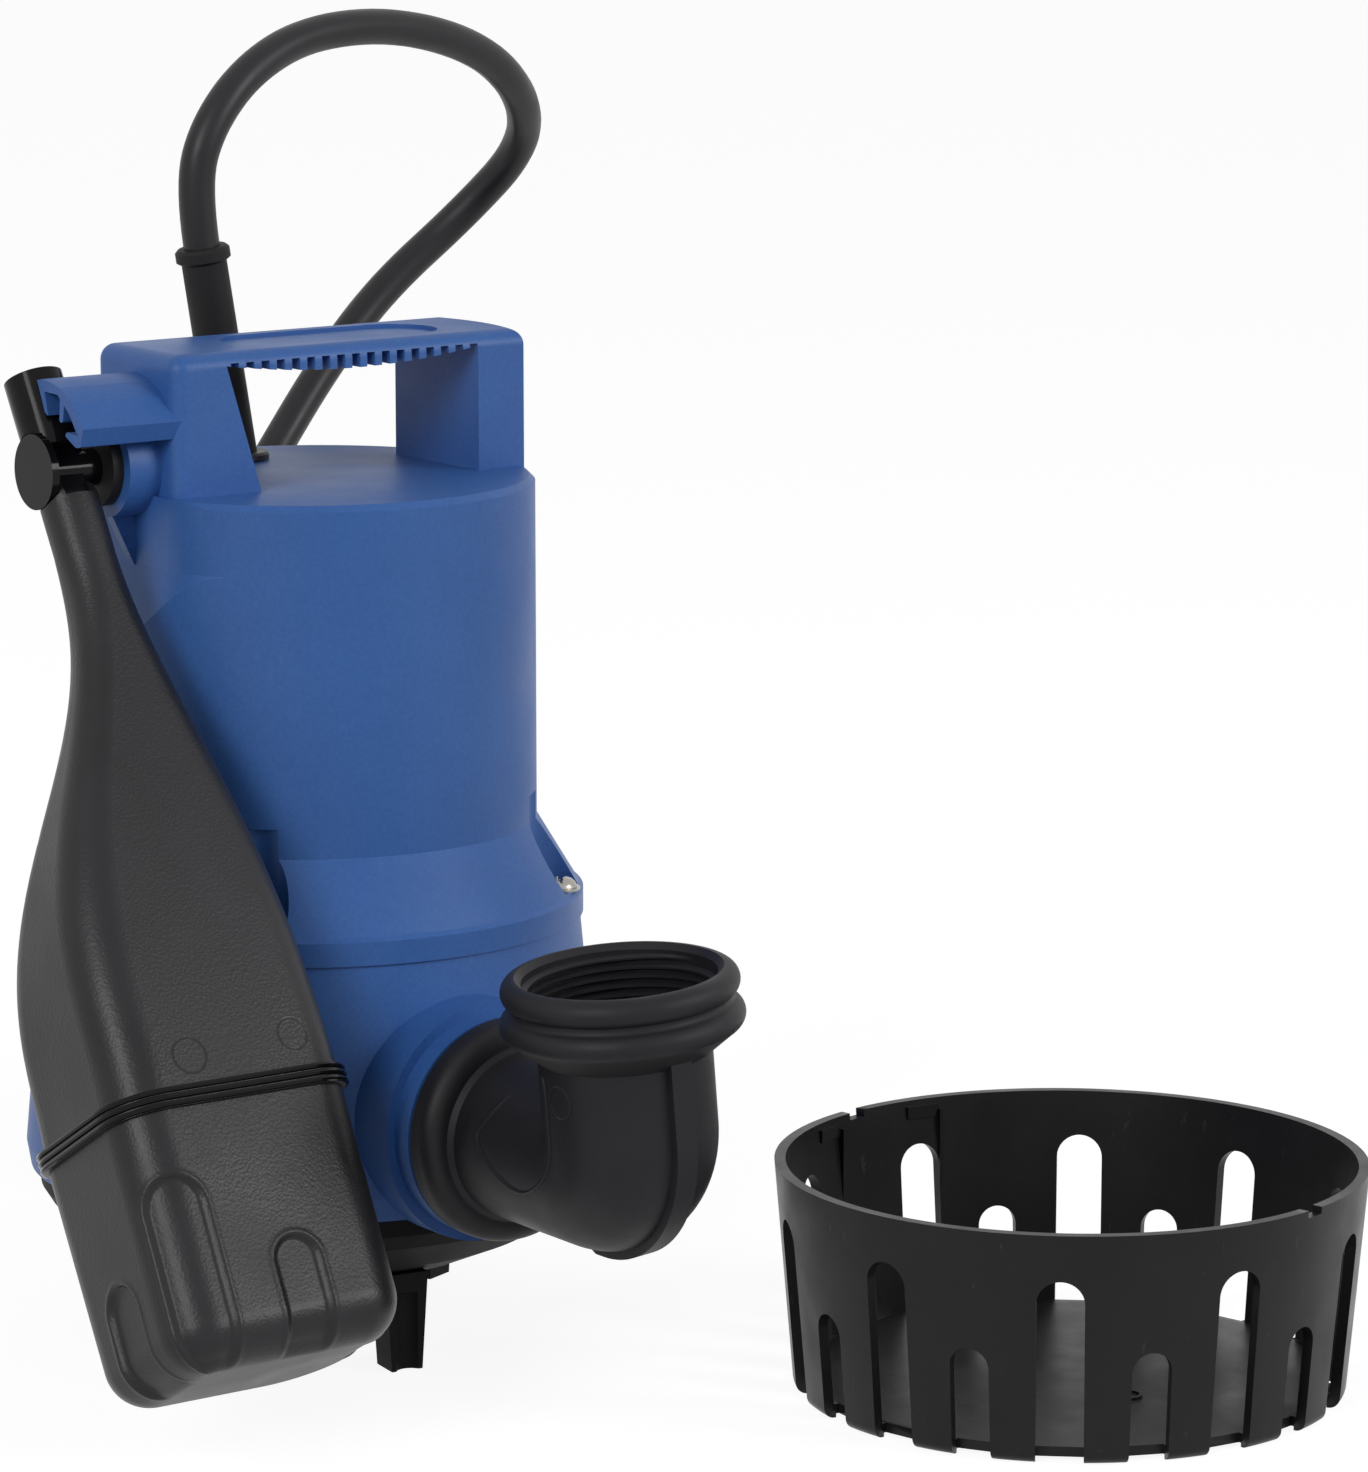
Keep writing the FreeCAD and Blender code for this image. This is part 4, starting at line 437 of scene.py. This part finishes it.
def even_shading(piece, crisp=32):
    """Shade by the large faces, so that the thin triangles of a cut don't show."""
    piece.data.shade_smooth()
    piece.data.set_sharp_from_angle(angle=math.radians(crisp))
    step = piece.modifiers.new("even", "WEIGHTED_NORMAL")
    step.keep_sharp = True
    keep_result(piece, step)


def add_piece(name, mesh, body, slot, replaced=()):
    """A new piece that moves with the body and has its slot's finish."""
    piece = bpy.data.objects.new(name, mesh)
    bpy.context.scene.collection.objects.link(piece)
    mesh.materials.append(finishes[slot])
    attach(piece, body)
    if replaced:
        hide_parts(*replaced)
    return piece


# Elbow

MOUTH_REACH = 57.0
MOUTH_TOP = 51.0
THREAD_PITCH = 2.31
THREAD_TURNS = 6.25
THREAD_START = 3.2
THREAD_BORE = 24.05
THREAD_CREST = 22.5
# The thread's ridge: half its height at the bore and at the crest
THREAD_FOOT = 1.0
THREAD_TIP = 0.25

LIP_RADIUS = 0.5
# Corners of the recess on the elbow's left side: distance in front of the outlet's end and height
RECESS_CORNERS = [(28.5, 20), (23, 12), (18.2, 5.4), (31, -3.4), (41, -4.4), (52.2, 4), (52.2, 16),
                  (52.2, 27.6), (48, 28.4)]


def mouth_thread():
    """Pipe thread inside the elbow's mouth, seated in its bore, which fades in and out."""
    steps = 64
    fade_steps = 10
    last = THREAD_TURNS * steps
    rings = []
    for k in range(int(last) + 1):
        angle = 2 * math.pi * k / steps
        height = MOUTH_TOP - THREAD_START - THREAD_PITCH * k / steps
        fade = min(1, k / fade_steps, (last - k) / fade_steps)
        crest = THREAD_BORE - (THREAD_BORE - THREAD_CREST) * fade
        ridge = ((THREAD_BORE, -THREAD_FOOT), (crest, -THREAD_TIP), (crest, THREAD_TIP),
                 (THREAD_BORE, THREAD_FOOT))
        rings.append([(radius * math.cos(angle), radius * math.sin(angle) - MOUTH_REACH, height + rise)
                      for radius, rise in ridge])
    mesh = smooth_mesh("mouth_thread", *swept_rings(rings), ELBOW_FRAME)
    add_piece("mouth_thread", mesh, "pump", "elbow_plastic")


def recess_lip():
    """Fine raised lip round the shallow recess on the elbow's left side, laid on the elbow's surface."""
    mesh = nodes["discharge_elbow"].data
    elbow = BVHTree.FromPolygons([vertex.co for vertex in mesh.vertices],
                                 [face.vertices for face in mesh.polygons])
    outline = RECESS_CORNERS
    # Each pass cuts the corners at a quarter of their sides, which rounds the outline.
    for _ in range(3):
        outline = [tuple(a * share + b * (1 - share) for a, b in zip(first, second))
                   for first, second in zip(outline, outline[1:]) for share in (0.75, 0.25)]
    inward = ELBOW_FRAME.to_3x3() @ Vector((1, 0, 0))
    well_outside = -60
    spots = []
    for forward, up in outline:
        start = ELBOW_FRAME @ Vector((well_outside, -forward, up)) * MM
        spot, normal, _, _ = elbow.ray_cast(start, inward)
        spots.append((spot / MM, normal))
    rings = []
    for k, (spot, normal) in enumerate(spots):
        along = (spots[min(k + 1, len(spots) - 1)][0] - spots[max(k - 1, 0)][0]).normalized()
        side = along.cross(normal).normalized()
        rings.append(round_ring(spot, side, side.cross(along), LIP_RADIUS))
    add_piece("recess_lip", smooth_mesh("recess_lip", *swept_rings(rings)), "pump", "elbow_plastic")


# Float. Drops are measured from the pivot, down along the float. A section has its left, right, back
# and front reach, the radius of three corners and the larger radius of the back corner by the pump.

SEAM_DROP = 167.0
SEAM_SECTION = (42.6, 22.9, 35.8, 16.4, 12.0, 28.0)
FOOT_DROP = 233.0
FOOT_SECTION = (44.5, 20.5, 33.0, 16.5, 12.0, 24.0)

BEAD_DROPS = (166.1, 167.85, 169.6)
BEAD_RADIUS = 0.75
BEAD_PROUD = 1.2

CAP_TOP = 168.7
CAP_ROUND = 11.0
CAP_WALL = 1.5
COLLAR_PROUD = 1.2
COLLAR_HEIGHT = 1.7
COLLAR_FOOT = 1.9
# Steps round the cap, for each corner and for the side after it
CORNER_STEPS = (28, 28, 50, 28)
SIDE_STEPS = (60, 30, 30, 44)
# Steps down the cap
WALL_STEP = 0.5
ROUND_STEPS = 22

# Recesses: middle along the outline from the front left corner's start, half width, drop of the head
CAP_RECESSES = [(14.0, 8.2, 186.0), (42.5, 6.4, 205.5), (-13.0, 7.5, 205.0), (85.5, 6.4, 205.0)]
RECESS_DEPTH = 1.3
RECESS_SLOPE = 1.1
RECESS_FADE = 6
RIM_HEIGHT = 0.30
RIM_OFFSET = 0.55
RIM_WIDTH = 0.45


def section_corners(left, right, back, front, corner, deep):
    """Centre, radius and first angle of each corner of a section, from the front left one round."""
    return [(-left + corner, -front + corner, corner, 180), (right - corner, -front + corner, corner, 270),
            (right - deep, back - deep, deep, 0), (-left + corner, back - corner, corner, 90)]


def seam_beads():
    """Three fine beads round the joint between the two halves of the float."""
    steps = 12
    points, faces = [], []
    for drop in BEAD_DROPS:
        rings = []
        for x, y, radius, start in section_corners(*SEAM_SECTION):
            for k in range(steps + 1):
                angle = math.radians(start + 90 * k / steps)
                way = Vector((math.cos(angle), math.sin(angle), 0))
                spot = Vector((x, y, -drop)) + way * (radius + BEAD_PROUD)
                rings.append(round_ring(spot, way, UP, BEAD_RADIUS))
        more_points, more_faces = swept_rings(rings, closed=True)
        faces += [tuple(index + len(points) for index in face) for face in more_faces]
        points += more_points
    add_piece("seam_beads", smooth_mesh("seam_beads", points, faces, FLOAT_FRAME), "float", "gloss_black")


def cap_ring(drop, inset):
    """One level outline of the cap as points, outward ways and lengths along it, and its whole length."""
    share = (drop - SEAM_DROP) / (FOOT_DROP - SEAM_DROP)
    corners = section_corners(*(a + (b - a) * share for a, b in zip(SEAM_SECTION, FOOT_SECTION)))
    ring = []
    length = 0.0
    for k, (x, y, radius, start) in enumerate(corners):
        bend = radius * math.pi / 2
        for j in range(CORNER_STEPS[k] + 1):
            share = j / CORNER_STEPS[k]
            angle = math.radians(start + 90 * share)
            way = Vector((math.cos(angle), math.sin(angle), 0))
            ring.append((Vector((x, y, 0)) + way * (radius - inset), way, length + bend * share))
        length += bend
        next_x, next_y, next_radius, _ = corners[(k + 1) % 4]
        first = ring[-1][0]
        last = Vector((next_x, next_y, 0)) + way * (next_radius - inset)
        gap = (last - first).length
        for j in range(1, SIDE_STEPS[k]):
            share = j / SIDE_STEPS[k]
            ring.append((first.lerp(last, share), way, length + gap * share))
        length += gap
    return ring, length


def cap_relief(along, down, around):
    """Height of the surface at a place, from the recesses with their fine raised rims."""
    fade = 1 - eased((down - FOOT_DROP) / RECESS_FADE)
    height = 0.0
    for middle, half, head in CAP_RECESSES:
        side = (along - middle + around / 2) % around - around / 2
        above = max(0.0, head + half - down)
        edge = math.hypot(side, above) - half
        rim = RIM_HEIGHT * math.exp(-((edge - RIM_OFFSET) / RIM_WIDTH) ** 2)
        height += fade * (rim - RECESS_DEPTH * eased(-edge / RECESS_SLOPE))
    return height


def moulded_cap():
    """Lower half of the float with its recesses run round the corner and over the bottom edge."""
    # Stations down the cap: drop, inset, lean of the surface and distance down it, None for the collar
    stations = [(CAP_TOP, CAP_WALL, 0, None), (CAP_TOP, -COLLAR_PROUD, 0, None),
                (CAP_TOP + COLLAR_HEIGHT, -COLLAR_PROUD, 0, None), (CAP_TOP + COLLAR_FOOT, 0, 0, None)]
    wall_top = CAP_TOP + 2
    edge = FOOT_DROP - CAP_ROUND
    rows = round((edge - wall_top) / WALL_STEP)
    for k in range(rows + 1):
        drop = wall_top + (edge - wall_top) * k / rows
        stations.append((drop, 0, 0, drop))
    for k in range(1, ROUND_STEPS + 1):
        lean = math.pi / 2 * k / ROUND_STEPS
        stations.append((edge + CAP_ROUND * math.sin(lean), CAP_ROUND * (1 - math.cos(lean)), lean,
                         edge + CAP_ROUND * lean))
    rings = []
    for drop, inset, lean, down in stations:
        ring, around = cap_ring(drop, inset)
        rings.append([])
        for spot, way, along in ring:
            height = 0 if down is None else cap_relief(along, down, around)
            out = way * math.cos(lean) - UP * math.sin(lean)
            rings[-1].append(tuple(spot + out * height - UP * drop))
    mesh = smooth_mesh("moulded_cap", *swept_rings(rings), FLOAT_FRAME, crisp=72)
    add_piece("moulded_cap", mesh, "float", "float_plastic", ["float_cap"])


# Screws of the motor cover

SCREW_CIRCLE = 65.5
SCREW_SEAT = 117.5
# Radius and height above the seat: dome, head, washer and shank
SCREW_PROFILE = [(0.02, 3.3), (1.6, 3.2), (3.0, 2.7), (3.9, 1.9), (4.4, 0.9), (4.4, 0.6), (5.2, 0.6),
                 (5.2, 0), (2.0, 0), (2.0, -20), (0.02, -20)]
SCREW_SLOT = (12, 1.1, 2.2)
SLOT_HEIGHT = 3.2


def pan_screws():
    """Domed screws with a slot and a washer, in the pockets of the cover."""
    for k in range(4):
        angle = math.radians(45 + 90 * k)
        x, y = SCREW_CIRCLE * math.cos(angle), SCREW_CIRCLE * math.sin(angle)
        seat = Matrix.Translation((x, y, SCREW_SEAT))
        name = f"cover_screw_{k + 1}"
        mesh = smooth_mesh(name, *turned_profile(SCREW_PROFILE), seat)
        screw = add_piece(name, mesh, "pump", "screw_steel", ["cover_screws"])
        slot_turn = Matrix.Rotation(math.radians(25 + 70 * k), 4, "Z")
        slot_place = seat @ slot_turn @ Matrix.Translation((0, 0, SLOT_HEIGHT))
        cut_away(screw, block("screw_slot", SCREW_SLOT, slot_place))


# Strainer basket

BASKET_X = 121.4
BASKET_Y = -163.3
BASKET_TOP = 58.7
RIM_RADIUS = 74.8
WALL_DRAFT = 0.08
NOTCH_ANGLES = (-77, 101)
NOTCH_SIZE = (12, 5.5, 3.6)
NOTCH_INSET = 1.4
# Each lug inside the rim is a bar and a rib beside it, at these angles.
LUG_ANGLES = ((83.5, 79.3), (111, 107), (-96.5, -100.7), (-69, -73))
LUG_INSET = 3.0
BAR_SIZE, BAR_DROP = (1.4, 9, 3.2), 3.2
RIB_SIZE, RIB_DROP = (1.2, 0.9, 24), 15
# Ring left by the moulding gate on the floor: radius and height, and its place
GATE_PROFILE = [(3.2, 3.4), (4.0, 3.4), (4.0, 4.1), (3.2, 4.1)]
GATE_ANGLE, GATE_REACH = -96, 26


def basket_place(angle, radius, height):
    """Frame at an angle and radius in the basket, with X pointing outward."""
    turn = math.radians(angle)
    x, y = BASKET_X + radius * math.cos(turn), BASKET_Y + radius * math.sin(turn)
    return Matrix.Translation((x, y, height)) @ Matrix.Rotation(turn, 4, "Z")


def notched_basket():
    """The strainer with its two rim notches, and the small lugs and the ring moulded inside."""
    mesh = nodes["strainer_basket"].data.copy()
    mesh.name = "notched_basket"
    mesh.materials.clear()
    basket = add_piece("notched_basket", mesh, "basket", "black_plastic", ["strainer_basket"])
    form = bmesh.new()
    form.from_mesh(basket.data)
    bmesh.ops.remove_doubles(form, verts=form.verts, dist=1e-6)
    form.to_mesh(basket.data)
    form.free()
    for angle in NOTCH_ANGLES:
        place = basket_place(angle, RIM_RADIUS - NOTCH_INSET, BASKET_TOP)
        cut_away(basket, block("notch", NOTCH_SIZE, place))
    even_shading(basket)

    for k, (bar_angle, rib_angle) in enumerate(LUG_ANGLES):
        for name, angle, size, drop in (("bar", bar_angle, BAR_SIZE, BAR_DROP),
                                        ("rib", rib_angle, RIB_SIZE, RIB_DROP)):
            radius = RIM_RADIUS - LUG_INSET - WALL_DRAFT * drop
            lug = block("lug", size, basket_place(angle, radius, BASKET_TOP - drop))
            add_piece(f"basket_{name}_{k + 1}", lug.data, "basket", "black_plastic")
            bpy.data.objects.remove(lug)

    gate = turned_profile(GATE_PROFILE, steps=32)
    mesh = smooth_mesh("basket_gate", *gate, basket_place(GATE_ANGLE, GATE_REACH, 0))
    add_piece("basket_gate", mesh, "basket", "black_plastic")


mouth_thread()
recess_lip()
moulded_cap()
seam_beads()
pan_screws()
notched_basket()


# Floor, light and camera

FLOOR_SIZE = 40
FLOOR_GREY = 0.50
FLOOR_SEEN = 0.22
FLOOR_GLOW = 0.90
WORLD_LIGHT = 0.28
LAMP_TARGET = (0, 0, 0.12)

SENSOR_WIDTH = 36
FOCAL_PIXELS = 6000
PHOTO_HEIGHT = 1472
CAMERA_PLACE = (-0.8194, -1.2923, 0.436)
CAMERA_DIP = 10.4
CAMERA_TURN = -36


def lit_or_seen(tree, lighting, seen, output):
    """Rays that see the background itself meet seen, and rays that gather light meet lighting."""
    path = tree.nodes.new("ShaderNodeLightPath")
    total = path.outputs["Is Camera Ray"]
    for key in ("Is Glossy Ray", "Is Transmission Ray"):
        most = tree.nodes.new("ShaderNodeMath")
        most.operation = "MAXIMUM"
        tree.links.new(total, most.inputs[0])
        tree.links.new(path.outputs[key], most.inputs[1])
        total = most.outputs[0]
    choice = tree.nodes.new("ShaderNodeMixShader")
    tree.links.new(total, choice.inputs[0])
    tree.links.new(lighting.outputs[0], choice.inputs[1])
    tree.links.new(seen.outputs[0], choice.inputs[2])
    tree.links.new(choice.outputs[0], tree.nodes.new(output).inputs["Surface"])


def make_floor():
    half = FLOOR_SIZE / 2
    corners = [(-half, -half, 0), (half, -half, 0), (half, half, 0), (-half, half, 0)]
    mesh = bpy.data.meshes.new("floor")
    mesh.from_pydata(corners, [], [(0, 1, 2, 3)])
    floor = bpy.data.objects.new("floor", mesh)
    bpy.context.scene.collection.objects.link(floor)
    material = bpy.data.materials.new("pale_floor")
    material.use_nodes = True
    tree = material.node_tree
    tree.nodes.clear()
    lighting = tree.nodes.new("ShaderNodeBsdfDiffuse")
    lighting.inputs["Color"].default_value = (FLOOR_GREY, FLOOR_GREY, FLOOR_GREY, 1)
    shadowed = tree.nodes.new("ShaderNodeBsdfDiffuse")
    shadowed.inputs["Color"].default_value = (FLOOR_SEEN, FLOOR_SEEN, FLOOR_SEEN, 1)
    glow = tree.nodes.new("ShaderNodeEmission")
    glow.inputs["Strength"].default_value = FLOOR_GLOW
    seen = tree.nodes.new("ShaderNodeAddShader")
    tree.links.new(shadowed.outputs[0], seen.inputs[0])
    tree.links.new(glow.outputs[0], seen.inputs[1])
    lit_or_seen(tree, lighting, seen, "ShaderNodeOutputMaterial")
    mesh.materials.append(material)


def make_world():
    world = bpy.data.worlds.new("studio")
    bpy.context.scene.world = world
    world.use_nodes = True
    tree = world.node_tree
    tree.nodes.clear()
    lighting = tree.nodes.new("ShaderNodeBackground")
    lighting.inputs["Strength"].default_value = WORLD_LIGHT
    seen = tree.nodes.new("ShaderNodeBackground")
    for background in (lighting, seen):
        background.inputs["Color"].default_value = (1, 1, 1, 1)
    lit_or_seen(tree, lighting, seen, "ShaderNodeOutputWorld")


def soft_box(name, place, size, power):
    """A square lamp that looks at the pump."""
    light = bpy.data.lights.new(name, "AREA")
    light.shape = "SQUARE"
    light.size = size
    light.energy = power
    piece = bpy.data.objects.new(name, light)
    piece.location = place
    piece.rotation_euler = (Vector(LAMP_TARGET) - Vector(place)).to_track_quat("-Z", "Y").to_euler()
    bpy.context.scene.collection.objects.link(piece)


def make_camera():
    """The photograph's view: from the front left, a little above the handle, through a long lens."""
    data = bpy.data.cameras.new("photo_view")
    data.lens = SENSOR_WIDTH * FOCAL_PIXELS / PHOTO_HEIGHT
    data.sensor_width = SENSOR_WIDTH
    data.sensor_fit = "AUTO"
    data.clip_end = 100
    camera = bpy.data.objects.new("photo_view", data)
    camera.location = CAMERA_PLACE
    camera.rotation_euler = (math.radians(90 - CAMERA_DIP), 0, math.radians(CAMERA_TURN))
    bpy.context.scene.collection.objects.link(camera)
    bpy.context.scene.camera = camera


make_floor()
make_world()
soft_box("key_light", (-2.2, -1.1, 1.35), 1.1, 29)
soft_box("fill_light", (1.2, -1.9, 1.1), 0.9, 21)
make_camera()
bpy.context.scene.view_settings.view_transform = "Standard"
